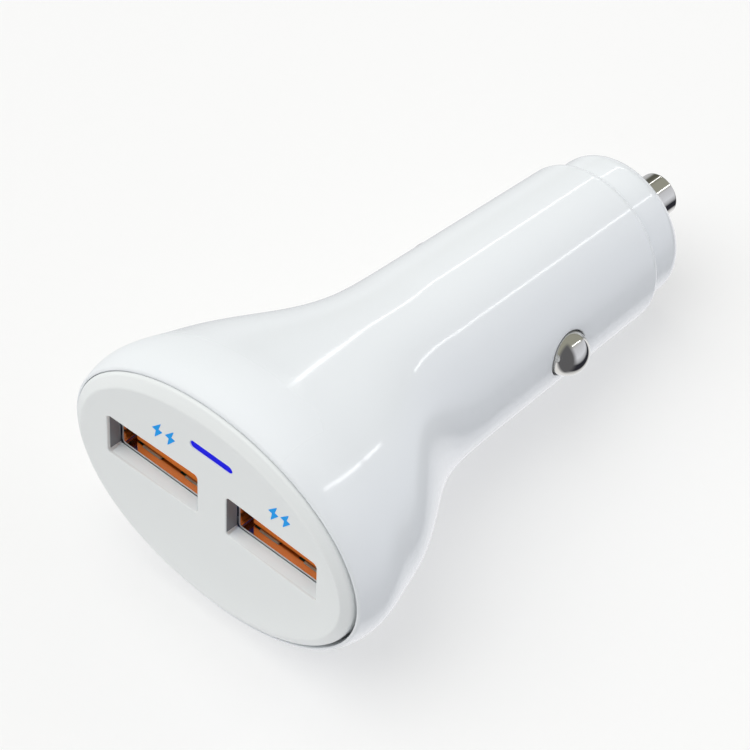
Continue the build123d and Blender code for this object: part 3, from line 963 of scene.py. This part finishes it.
@dataclass
class FrontPanel:
    """Pale oval cap: slightly dished face, sloped border, two socket openings and the light slot."""

    finish: Material
    edge_gap: float = 0.17 * MM
    edge_shift: Pair = (-0.12 * MM, 0.09 * MM)
    border_width: float = 1.5 * MM
    border_slope: float = 27.0
    border_rounding: float = 0.62 * MM
    ridge: Pair = (18.72 * MM, 12.3 * MM)
    ridge_rounding: float = 0.7 * MM
    ridge_start: float = 0.83
    dish_depth: float = 0.72 * MM
    dish_power: float = 5.0
    plate: float = 1.6 * MM
    wall: float = 1.2 * MM
    opening_edge: float = 0.14 * MM
    flat_ring: float = 0.12 * MM
    port_size: Pair = (13.0 * MM, 5.33 * MM)
    port_corner: float = 0.45 * MM
    port_z: float = 0.75 * MM
    light_width: float = 6.0 * MM
    light_corner: float = LIGHT_HEIGHT / 2 - 0.001 * MM
    rib_shape: tuple[float, float, float, float] = (3.0 * MM, 2.2 * MM, STEP_ROUNDING, 0.0)
    rib_z: float = -4.015 * MM
    rib_root: float = 0.02 * MM
    rib_end: float = 6.4 * MM
    lattice: float = 0.9 * MM
    steps: int = 240

    def __post_init__(self) -> None:
        """Read the places that the frame gives."""
        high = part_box("front_panel")[1]
        self.half = np.array([high[0], high[2]]) - self.edge_gap
        self.ridge_half = np.array(self.ridge)
        self.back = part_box("circuit_board")[0][1] - BOARD_GAP
        boxes = [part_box(node) for node in ("usb_shell_left", "usb_shell_right")]
        self.ports = [
            Opening((low[0] + high[0]) / 2, self.port_z, *self.port_size, self.port_corner)
            for low, high in boxes
        ]
        slot = Opening(0.0, LIGHT_Z, self.light_width, LIGHT_HEIGHT, self.light_corner)
        self.openings = [*self.ports, slot]

    def face(self, flat: Array) -> Array:
        """Place along Y for X and Z: minus the depth times a power of the share of the ridge oval."""
        share = np.sqrt(np.sum((flat / self.ridge_half) ** 2, axis=-1))
        return -self.dish_depth * np.minimum(share, 1) ** self.dish_power

    def _border(self, draft: Draft) -> tuple[Array, Array]:
        """Add the ridge, the sloped border, the side and the inner wall.

        The border runs along a path of two numbers, a share of the way from ridge to edge and a
        place along Y; each of its points is swept round an oval between the two.

        Args:
            draft: Draft that gets the faces.

        Returns:
            Loops in X and Z where the face starts and where the inner wall ends.
        """
        width, inner = self.border_width, self.border_width - self.wall
        shoulder = width * np.tan(np.radians(self.border_slope)) - self.dish_depth
        path = rounded_path(
            [
                (-self.ridge_rounding, -self.dish_depth * self.ridge_start),
                (0, -self.dish_depth),
                (width, shoulder),
                (width, self.back),
                (inner, self.back),
                (inner, self.plate),
            ],
            [0, self.ridge_rounding, self.border_rounding, EDGE_ROUNDING, EDGE_ROUNDING, 0],
            10,
        )
        half = self.ridge_half + (self.half - self.ridge_half) * path[:, :1] / width
        grid = oval(half[:, 0], half[:, 1], path[:, 1], self.steps)
        grid[..., [0, 2]] += np.array(self.edge_shift) * np.clip(path[:, 0] / width, 0, 1)[:, None, None]
        grid[0, :, 1] = self.face(grid[0][:, [0, 2]])
        draft.add_grid(grid)
        return grid[0][:, [0, 2]], grid[-1][:, [0, 2]]

    def build(self) -> None:
        """Build the cap: border, opening walls, the plates between them and two ribs behind."""
        draft = Draft()
        fronts, backs = ([loop] for loop in self._border(draft))
        ring = self.opening_edge + self.flat_ring
        wall_path = rounded_path([(ring, 0), (0, 0), (0, self.plate)], [0, self.opening_edge, 0])
        for opening in self.openings:
            loops = np.stack([opening.outline(margin) for margin, _ in wall_path])
            along = np.broadcast_to(wall_path[:, 1:], loops.shape[:2]) + self.face(loops)
            along[-1] = self.plate
            draft.add_grid(np.stack([loops[..., 0], along, loops[..., 1]], -1))
            fronts.append(loops[0])
            backs.append(loops[-1])
        side = np.arange(-self.half[0], self.half[0], self.lattice)
        flat = np.stack(np.meshgrid(side, side), -1).reshape(-1, 2)
        inside = np.sum((flat / (self.ridge_half - 2 * self.ridge_rounding)) ** 2, axis=1) < 1

        def free(points: Array, margin: float = 0.0) -> Array:
            """Which points in X and Z lie over any opening."""
            return np.any([opening.holds(points, margin) for opening in self.openings], axis=0)

        inner = flat[inside & ~free(flat, 2 * ring)]
        draft.add_plate(fronts, self.face, lambda points: free(points, ring), [inner])
        draft.add_plate(backs, lambda points: np.full(len(points), self.plate), free)
        for port in self.ports:
            ends = (self.plate - self.rib_root, self.rib_end)
            draft.add_bar([(y, *self.rib_shape) for y in ends], port.x, self.rib_z)
        draft.place("front_panel_cap", "body", "panel_white", self.finish, "front_panel")


@dataclass
class BoltPrint:
    """Pairs of printed fast-charge bolts above the sockets."""

    finish: Material
    face: Callable[[Array], Array]
    places: tuple[Pair, ...] = (
        (-7.73 * MM, 6.13 * MM), (-5.89 * MM, 6.22 * MM), (8.90 * MM, 6.16 * MM), (10.65 * MM, 6.40 * MM),
    )
    outline: tuple[Pair, ...] = (
        (0.64, 1.40), (-0.76, 0.02), (-0.22, -0.12), (-0.46, -1.26), (0.74, 0.14), (0.20, 0.26),
    )
    thickness: float = 0.02 * MM
    rounding: float = 0.05 * MM

    def build(self) -> None:
        """Build all bolts as thin flat prisms on the front face."""
        corners = np.array(self.outline) * MM
        start = (corners[:1] + corners[-1:]) / 2
        run = np.concatenate([start, corners, start])
        loop = rounded_path(run, [0] + [self.rounding] * len(corners) + [0], 4)[:-1]
        draft = Draft()
        for place in self.places:
            flat = loop + place
            levels = (self.face(flat) - self.thickness, self.face(flat) + self.thickness)
            draft.add_prism([np.insert(flat, 1, level, axis=1) for level in levels])
        draft.place("bolt_print", "body", "light_blue", self.finish)


@dataclass
class Linings:
    """Thin facings in the socket openings: dark grey end walls, which are painted shade, and faintly glowing
    sills, which are painted light.
    """

    panel: FrontPanel
    end_shade_paint: Material
    sill_glow_paint: Material
    thickness: float = 0.04 * MM
    front: float = 0.1 * MM
    end_corner: float = 0.01 * MM
    sill_start: float = 0.01 * MM
    sill_rise: float = 0.1 * MM
    sill_corner: float = 0.002 * MM
    corner_room: float = 1.2

    def build(self) -> None:
        """Build the end walls as flat bars, and the sills as bars that rise towards the sockets."""
        ends, sills = Draft(), Draft()
        places = (self.front, self.panel.plate)
        for port in self.panel.ports:
            room = self.corner_room * port.corner
            shape = (self.thickness, port.height - room, self.end_corner, 0.0)
            for side in (-1, 1):
                x = port.x + side * (port.width - self.thickness) / 2
                ends.add_bar([(y, *shape) for y in places], x, port.z)
            rises = zip(places, (self.sill_start, self.sill_rise))
            rows = [(y, port.width - room, rise, self.sill_corner, rise / 2) for y, rise in rises]
            sills.add_bar(rows, port.x, port.z - port.height / 2)
        # The end walls' dark grey is painted shade, standing in for the shadow on the openings' side walls.
        ends.place("opening_ends_painted_shade", "body", "panel_white", self.end_shade_paint)
        # The sills' faint glow is painted light that brightens the shaded floors of the openings.
        sills.place("opening_sills_painted_glow", "body", "panel_white", self.sill_glow_paint)


@dataclass
class Socket:
    """Plastic tongue of one socket, the spring fingers under its front end and the shell's cut edge."""

    side: str
    tongue_finish: Material
    finger_finish: Material
    edge_finish: Material
    forward: float = 0.25 * MM
    lower: float = 0.205 * MM
    edge: float = 0.12 * MM
    block_length: float = 2.2 * MM
    block_corner: float = 0.3 * MM
    width: float = 10.5 * MM
    front: float = 2.95 * MM
    bottom: float = -1.095 * MM
    top: float = 0.405 * MM
    finger_places: Pair = (-2.8 * MM, 3.5 * MM)
    finger_width: float = 2.7 * MM
    finger_front: float = 2.5 * MM
    finger_back: float = 3.2 * MM
    finger_height: float = 0.17 * MM
    finger_least: float = 0.25
    finger_corner: float = 0.2
    floor: float = -1.515 * MM
    edge_sheet: float = 0.2 * MM
    edge_depth: float = 0.04 * MM
    edge_height: float = 5.13 * MM
    edge_middle: float = 0.85 * MM
    edge_corner: float = 0.5 * MM

    def __post_init__(self) -> None:
        """Read the places that the frame gives."""
        self.low, self.high = (np.array(corner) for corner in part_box("usb_tongue_" + self.side))
        self.middle = (self.low[0] + self.high[0]) / 2

    def _build_tongue(self) -> None:
        """Build the tongue and the block behind it as one bar of growing outlines.

        At the front the outlines grow as one minus a sine while they move back as one minus a cosine.
        """
        front, bottom = self.front - self.forward, self.bottom - self.lower
        height, lift, edge = self.top - bottom, (self.top + bottom) / 2, self.edge
        angle = np.linspace(0, np.pi / 2, 6)
        inset, along = edge * (1 - np.sin(angle)), front + edge * (1 - np.cos(angle))
        rows = [(y, self.width - 2 * part, height - 2 * part, edge, lift) for part, y in zip(inset, along)]
        size = self.high - self.low
        block = (size[0], size[2], self.block_corner, (self.high[2] + self.low[2]) / 2)
        start = self.high[1] - self.block_length
        rows += [(start, self.width, height, edge, lift), (start, *block), (self.high[1], *block)]
        draft = Draft()
        draft.add_bar(rows, self.middle, 0)
        name = "usb_tongue_" + self.side
        draft.place(name + "_moulded", "body", "tongue_orange", self.tongue_finish, name)

    def _build_fingers(self) -> None:
        """Build the lifted ends of the two floor fingers, rounded over at the tip.

        Along a finger the place grows with the square of the share and the height follows a
        flattened quarter circle.
        """
        draft = Draft()
        share = np.linspace(0, 1, 9)
        along = self.finger_front + (self.finger_back - self.finger_front) * share**2
        height = self.finger_height * np.maximum(np.sqrt(1 - (1 - share) ** 4), self.finger_least)
        rows = [
            (y, self.finger_width, part, part * self.finger_corner, part / 2)
            for y, part in zip(along, height)
        ]
        for place in self.finger_places:
            draft.add_bar(rows, self.middle + place, self.floor)
        draft.place("usb_fingers_" + self.side, "body", "shell_steel", self.finger_finish)

    def _build_edge(self) -> None:
        """Build the bright cut edge of the shell's sheet as a thin ring in front of it."""
        low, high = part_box("usb_shell_" + self.side)
        front, ahead, width = low[1], low[1] - self.edge_depth, high[0] - low[0]
        outer, inner = (
            rounded_rectangle(width - 2 * step, self.edge_height - 2 * step, self.edge_corner - step)
            + (self.middle, self.edge_middle)
            for step in (0.0, self.edge_sheet)
        )
        rows = ((outer, front), (outer, ahead), (inner, ahead), (inner, front), (outer, front))
        draft = Draft()
        draft.add_grid(np.stack([np.insert(loop, 1, y, axis=1) for loop, y in rows]))
        draft.place("usb_edge_" + self.side, "body", "shell_steel", self.edge_finish)

    def build(self) -> None:
        """Build tongue, fingers and edge."""
        self._build_tongue()
        self._build_fingers()
        self._build_edge()


@dataclass
class Nose:
    """Stepped-down nose cap, turned about the plug's axis."""

    finish: Material
    end_rounding: float = 2.25 * MM
    mouth_rounding: float = 0.25 * MM
    front_wall: float = 2.5 * MM
    skirt_wall: float = 1.4 * MM
    pin_clearance: float = 0.2 * MM
    fit: float = 0.58 * MM

    def build(self) -> None:
        """Build the cap from its closed profile."""
        low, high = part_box("nose_cap")
        radius, start, end = high[0], low[1], high[1]
        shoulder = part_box("housing")[1][1]
        skirt, mouth, floor = radius - self.fit, PIN_RADIUS + self.pin_clearance, end - self.front_wall
        inner, middle = skirt - self.skirt_wall, (start + end) / 2
        edge, step = EDGE_ROUNDING, STEP_ROUNDING
        corners = [
            (inner, middle), (inner, start), (skirt, start), (skirt, shoulder), (radius, shoulder),
            (radius, end), (mouth, end), (mouth, floor), (inner, floor), (inner, middle),
        ]
        radii = [0, edge, edge, step, step, self.end_rounding, self.mouth_rounding, edge, edge, 0]
        draft = Draft()
        draft.add_turned(rounded_path(corners, radii, 12), Spin.ALONG_PLUG, steps=192)
        draft.place("nose_cap_turned", "body", "housing_white", self.finish, "nose_cap")


@dataclass
class CentrePin:
    """Sprung centre pin: stub, flange and polished shaft."""

    finish: Material
    tip_rounding: float = 0.35 * MM
    stub_rounding: float = 0.15 * MM
    flange: float = 1.2 * MM
    stub_length: float = 1.5 * MM
    stub_margin: float = 1.1 * MM

    def build(self) -> None:
        """Build the pin from its profile."""
        low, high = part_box("centre_pin")
        wide, start, end = high[0], low[1], high[1]
        back, stub = start + self.stub_length, wide - self.stub_margin
        front = back + self.flange
        edge, step = EDGE_ROUNDING, STEP_ROUNDING
        corners = [
            (0, start), (stub, start), (stub, back), (wide, back),
            (wide, front), (PIN_RADIUS, front), (PIN_RADIUS, end), (0, end),
        ]
        radii = [0, self.stub_rounding, step, edge, edge, step, self.tip_rounding, 0]
        draft = Draft()
        draft.add_turned(rounded_path(corners, radii, 8), Spin.ALONG_PLUG)
        draft.place("centre_pin_turned", "pin", "contact_chrome", self.finish, "centre_pin")


@dataclass
class SideContact:
    """Sprung button on one side of the barrel: ball end, round body and flange."""

    node: str
    body: str
    side: int
    finish: Material
    hollow: float = 1.9 * MM
    crown: float = 1.8 * MM

    def build(self) -> None:
        """Build the button from its profile about the X axis; the ball end is a quarter circle."""
        low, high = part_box(self.node)
        wide = (high[1] - low[1]) / 2
        radius = wide - FLANGE_MARGIN
        inner, reach = sorted((abs(low[0]), abs(high[0])))
        front, roof = inner + FLANGE, reach - self.crown
        edge, step = EDGE_ROUNDING, STEP_ROUNDING
        angle = np.linspace(0, np.pi / 2, 40)
        ball = np.stack([radius * np.sin(angle), reach - radius * (1 - np.cos(angle))], 1)
        corners = [
            tuple(ball[-1]), (radius, front), (wide, front), (wide, inner),
            (self.hollow, inner), (self.hollow, roof), (0, roof),
        ]
        profile = np.concatenate([ball[:-1], rounded_path(corners, [0, step, edge, edge, edge, step, 0])])
        profile[:, 1] *= self.side
        draft = Draft()
        draft.add_turned(profile, Spin.ACROSS_PLUG, (0, (low[1] + high[1]) / 2, 0), 160)
        draft.place(self.node + "_turned", self.body, "contact_chrome", self.finish, self.node)


@dataclass
class CoilSpring:
    """Coil spring behind a contact."""

    node: str
    joint: str
    way: tuple[int, int, int]
    travel: float
    finish: Material

    def build(self) -> None:
        """Copy the solid's coil as a piece of its own."""
        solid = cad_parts[self.node]
        mesh = solid.data.copy()
        mesh.transform(solid.matrix_world)
        mesh.materials.clear()
        mesh.name = self.node + "_coil"
        piece = place_piece(mesh, "body", self.finish, [self.node])
        low, high = (np.array(corner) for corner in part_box(self.node))
        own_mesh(piece)


@dataclass
class CarriedParts:
    """Frame nodes that keep their shape and get a finish of their own."""

    finishes: dict[str, Material]
    nodes: tuple[tuple[str, str], ...] = (
        ("light_blue", "light_pipe"),
        ("shell_steel", "usb_shell_left usb_shell_right"),
        ("strip_gold", "usb_contacts_left usb_contacts_right"),
        ("board_green", "circuit_board"),
        ("lamp_white", "status_led"),
        ("ferrite_grey", "inductor_core"),
        ("coil_copper", "inductor_coil"),
        ("can_aluminium", "input_capacitor output_capacitor"),
        ("chip_black", "controller_chip diode"),
        ("fuse_ceramic", "fuse"),
        ("carrier_grey", "spring_carrier"),
        ("sheet_steel", "ground_bracket pin_plate"),
        ("lead_red", "positive_lead"),
        ("lead_black", "ground_lead"),
    )

    def dress(self) -> None:
        """Give each listed node its material."""
        for name, nodes in self.nodes:
            for node in nodes.split():
                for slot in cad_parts[node].material_slots:
                    slot.material = self.finishes[name]
                LOG.info("%s dressed in %s", node, name)


@dataclass
class Studio:
    """Floor, lights, surroundings and camera."""

    paper: Material
    focal_length: float = 168.0
    sensor: float = 36.0
    clip_start: float = 0.01
    camera_place: Triple = (0.17734, -0.17441, 0.25610)
    camera_right: Triple = (0.72535, 0.68767, 0.03108)
    camera_down: Triple = (0.4907, -0.48487, -0.72396)
    camera_forward: Triple = (-0.48278, 0.54038, -0.68914)
    floor_half: float = 3.0
    floor_front_touch: Pair = (6.0 * MM, -15.03 * MM)
    floor_back_touch: Pair = (58.6 * MM, -9.72 * MM)
    strips: tuple[tuple[str, float, float, float], ...] = (
        ("left_strip", -0.76, 0.93, 1.68), ("right_strip", 0.59, 0.05, 1.52),
    )
    strip_height: float = 0.6
    strip_width: float = 0.026
    strip_radiance: float = 5.0
    strip_target: Triple = (0, 0.03, 0)
    suns: tuple[tuple[str, float, Triple], ...] = (
        ("key", 2.2, (-0.34, -0.36, 0.87)), ("back_fill", 0.3, (-0.25, 0.6, 0.76)),
    )
    sun_spread: float = 75.0
    right_front_tone: Triple = (0.13, 0.13, 0.14)
    right_rate: float = 4.0
    front_rate: float = 3.0
    front_start: float = 0.2
    sky_stops: tuple[tuple[float, Triple], ...] = (
        (0.000, (0.55, 0.56, 0.58)),
        (0.138, (0.60, 0.61, 0.63)),
        (0.144, (0.10, 0.10, 0.10)),
        (0.151, (0.10, 0.10, 0.10)),
        (0.156, (0.90, 0.90, 0.92)),
        (0.25, (0.90, 0.90, 0.92)),
        (0.30, (0.60, 0.60, 0.62)),
        (0.33, (0.03, 0.03, 0.04)),
        (0.41, (0.03, 0.03, 0.04)),
        (0.44, (0.45, 0.46, 0.50)),
        (0.50, (0.80, 0.82, 0.90)),
        (0.62, (0.66, 0.67, 0.73)),
        (0.69, (0.36, 0.36, 0.31)),
        (0.80, (0.36, 0.36, 0.31)),
        (0.90, (0.12, 0.12, 0.10)),
        (0.95, (0.12, 0.12, 0.10)),
        (1.00, (0.55, 0.56, 0.58)),
    )

    @staticmethod
    def _stand(data: ID, place: Sequence[float], basis: Matrix) -> Object:
        """Stand a light or a camera in the scene.

        Args:
            data: The light or camera.
            place: Where it stands.
            basis: Its three axes, one in each column.

        Returns:
            The new object.
        """
        thing = add_object(data)
        thing.matrix_world = Matrix.Translation(place) @ basis.to_4x4()
        return thing

    def _build_floor(self) -> None:
        """Lay a floor that touches the flare and the barrel's end from below."""
        (front_y, front_z), (back_y, back_z) = self.floor_front_touch, self.floor_back_touch
        slope = (back_z - front_z) / (back_y - front_y)
        side = np.linspace(-self.floor_half, self.floor_half, 3)
        x, y = np.meshgrid(side, side)
        draft = Draft()
        draft.add_grid(np.stack([x, y, front_z + slope * (y - front_y)], -1), closed=False)
        mesh = draft.mesh("floor")
        mesh.materials.append(self.paper)
        floor = add_object(mesh)
        floor.visible_glossy = False

    def _build_lights(self) -> None:
        """Hang the two long strips overhead and the two soft suns."""
        height = self.strip_height
        for name, across, start, end in self.strips:
            length = (end - start) * height
            strip = bpy.data.lights.new(name, "AREA")
            strip.shape = "RECTANGLE"
            strip.size, strip.size_y = self.strip_width, length
            strip.energy = self.strip_radiance * np.pi * self.strip_width * length
            place = Vector((across * height, (start + end) / 2 * height, height))
            back = (place - Vector(self.strip_target)).normalized()
            right = Vector((0, 1, 0)).cross(back).normalized()
            self._stand(strip, place, Matrix((right, back.cross(right), back)).transposed())
        for name, strength, way in self.suns:
            sun = bpy.data.lights.new(name, "SUN")
            sun.energy, sun.angle = strength, np.radians(self.sun_spread)
            lamp = self._stand(sun, (0, 0, 0), Vector(way).to_track_quat("Z", "Y").to_matrix())
            lamp.visible_glossy = False

    def _build_world(self) -> None:
        """Surround the scene with soft bands of tone, told apart by the angle round the Y axis."""
        graph = Graph(bpy.data.worlds.new("studio"))
        x, y, z = graph.split(graph.node("ShaderNodeTexCoord", output="Generated"))
        share = graph.node("ShaderNodeMath", {"operation": "ARCTAN2"}, {0: z, 1: x}) / TURN + 0.5
        tone = graph.node("ShaderNodeValToRGB", inputs={0: share})
        elements = tone.socket.node.color_ramp.elements
        while len(elements) < len(self.sky_stops):
            elements.new(1)
        for element, (place, colour) in zip(elements, self.sky_stops):
            element.position, element.color = place, (*colour, 1)
        right_front = (x * self.right_rate).held() * (self.front_start - y * self.front_rate).held()
        tone = graph.mix(right_front, tone, self.right_front_tone)
        bpy.context.scene.world = graph.surface({"Color": tone, "Strength": 1.0})

    def _build_camera(self) -> None:
        """Stand the camera where the photograph was taken from."""
        data = bpy.data.cameras.new("camera")
        data.lens, data.sensor_width, data.clip_start = self.focal_length, self.sensor, self.clip_start
        axes = Matrix((self.camera_right, -Vector(self.camera_down), -Vector(self.camera_forward)))
        bpy.context.scene.camera = self._stand(data, self.camera_place, axes.transposed())
        bpy.context.scene.view_settings.view_transform = "Standard"

    def build(self) -> None:
        """Build floor, lights, surroundings and camera."""
        self._build_floor()
        self._build_lights()
        self._build_world()
        self._build_camera()


GLOSS = ((0.865, 0.895, 0.925), (0.875, 0.905, 0.935), 0.10, 0.02)
ALONG_Y = (1, 0.1, 1)
FINISHES = (
    MouldedPlastic("gloss_white", *GLOSS, coat=0.3),
    MouldedPlastic("housing_gloss", *GLOSS, coat=0.3, dull_rim=0.3),
    MouldedPlastic("satin_white", (0.86, 0.885, 0.89), (0.87, 0.895, 0.90), 0.34, 0.05, 12000, 0.000002),
    PlatedMetal("contact_chrome", (0.80, 0.79, 0.76), (0.72, 0.71, 0.66), 0.07),
    PlatedMetal("shell_steel", (0.90, 0.89, 0.87), (0.84, 0.83, 0.81), 0.08, (1, 0.05, 1)),
    PrintedInk("bolt_cyan", (0.0, 0.34, 0.92), (0.0, 0.38, 0.98)),
    # Dark grey of the openings' end walls: painted shade.
    MouldedPlastic("end_wall_painted_shade", (0.22, 0.23, 0.25), (0.24, 0.25, 0.27), 0.4, 0.05),
    # Faint glow of the openings' sills: painted light.
    BackLitPaper("sill_painted_glow", (0.86, 0.885, 0.89), (0.070, 0.088, 0.095)),
    MouldedPlastic("tongue_orange", (0.95, 0.20, 0.008), (0.98, 0.24, 0.015), 0.38, 0.06),
    LitAcrylic("light_blue", (0.003, 0.003, 0.80), 0.74),
    PlatedMetal("finger_steel", (0.62, 0.58, 0.50), (0.52, 0.49, 0.42), 0.3, ALONG_Y),
    PlatedMetal("edge_steel", (0.97, 0.97, 0.97), (0.93, 0.93, 0.93), 0.5),
    PlatedMetal("strip_gold", (0.83, 0.62, 0.28), (0.75, 0.52, 0.20), 0.2),
    PlatedMetal("sheet_steel", (0.66, 0.66, 0.65), (0.55, 0.55, 0.54), 0.3, ALONG_Y),
    PlatedMetal("spring_steel", (0.6, 0.6, 0.6), (0.5, 0.5, 0.5), 0.25),
    PlatedMetal("can_aluminium", (0.75, 0.76, 0.78), (0.68, 0.69, 0.71), 0.28, (1, 1, 0.1)),
    CircuitLaminate("board_green", (0.01, 0.12, 0.05), (0.02, 0.2, 0.08), 1.6 * MM),
    WoundWire("coil_copper", (0.72, 0.30, 0.12), (0.2, 0.06, 0.02), 0.5 * MM),
    MouldedPlastic("ferrite_grey", (0.09, 0.09, 0.095), (0.13, 0.13, 0.13), 0.6, 0.2, 2500, 0.00001),
    MouldedPlastic("chip_black", (0.018, 0.018, 0.02), (0.03, 0.03, 0.03), 0.5, 0.15, 5000, 0.000005),
    MouldedPlastic("fuse_ceramic", (0.7, 0.68, 0.6), (0.62, 0.6, 0.52), 0.45, 0.1),
    MouldedPlastic("carrier_grey", (0.25, 0.26, 0.27), (0.3, 0.31, 0.32), 0.45, 0.08),
    MouldedPlastic("lamp_white", (0.8, 0.8, 0.74), (0.86, 0.86, 0.8), 0.35, 0.06),
    MouldedPlastic("lead_red", (0.55, 0.02, 0.015), (0.6, 0.03, 0.02), 0.4, 0.08),
    MouldedPlastic("lead_black", (0.02, 0.02, 0.02), (0.03, 0.03, 0.03), 0.4, 0.08),
    BackLitPaper("floor_paper", (0.47, 0.47, 0.47), (0.455, 0.455, 0.455)),
)


def main() -> None:
    """Build the pieces in order and report them."""
    logging.basicConfig(level=logging.INFO, format="%(message)s")
    finishes = {finish.name: finish.make() for finish in FINISHES}
    Housing(finishes["housing_gloss"]).build()
    panel = FrontPanel(finishes["satin_white"])
    panel.build()
    BoltPrint(finishes["bolt_cyan"], panel.face).build()
    # The end walls get painted shade and the sills get painted light.
    Linings(panel, finishes["end_wall_painted_shade"], finishes["sill_painted_glow"]).build()
    Nose(finishes["gloss_white"]).build()
    CentrePin(finishes["contact_chrome"]).build()
    for side, sign in (("right", 1), ("left", -1)):
        SideContact(side + "_contact", side + "_button", sign, finishes["contact_chrome"]).build()
    for side in ("left", "right"):
        Socket(side, *(finishes[name] for name in ("tongue_orange", "finger_steel", "edge_steel"))).build()
    CarriedParts(finishes).dress()
    for node, joint, way, travel in (
        ("pin_spring", "pin_push", (0, 1, 0), 3 * MM),
        ("right_spring", "right_button_push", (1, 0, 0), 1.9 * MM),
        ("left_spring", "left_button_push", (-1, 0, 0), 1.9 * MM),
    ):
        CoilSpring(node, joint, way, travel, finishes["spring_steel"]).build()
    Studio(finishes["floor_paper"]).build()


if __name__ == "__main__":
    main()
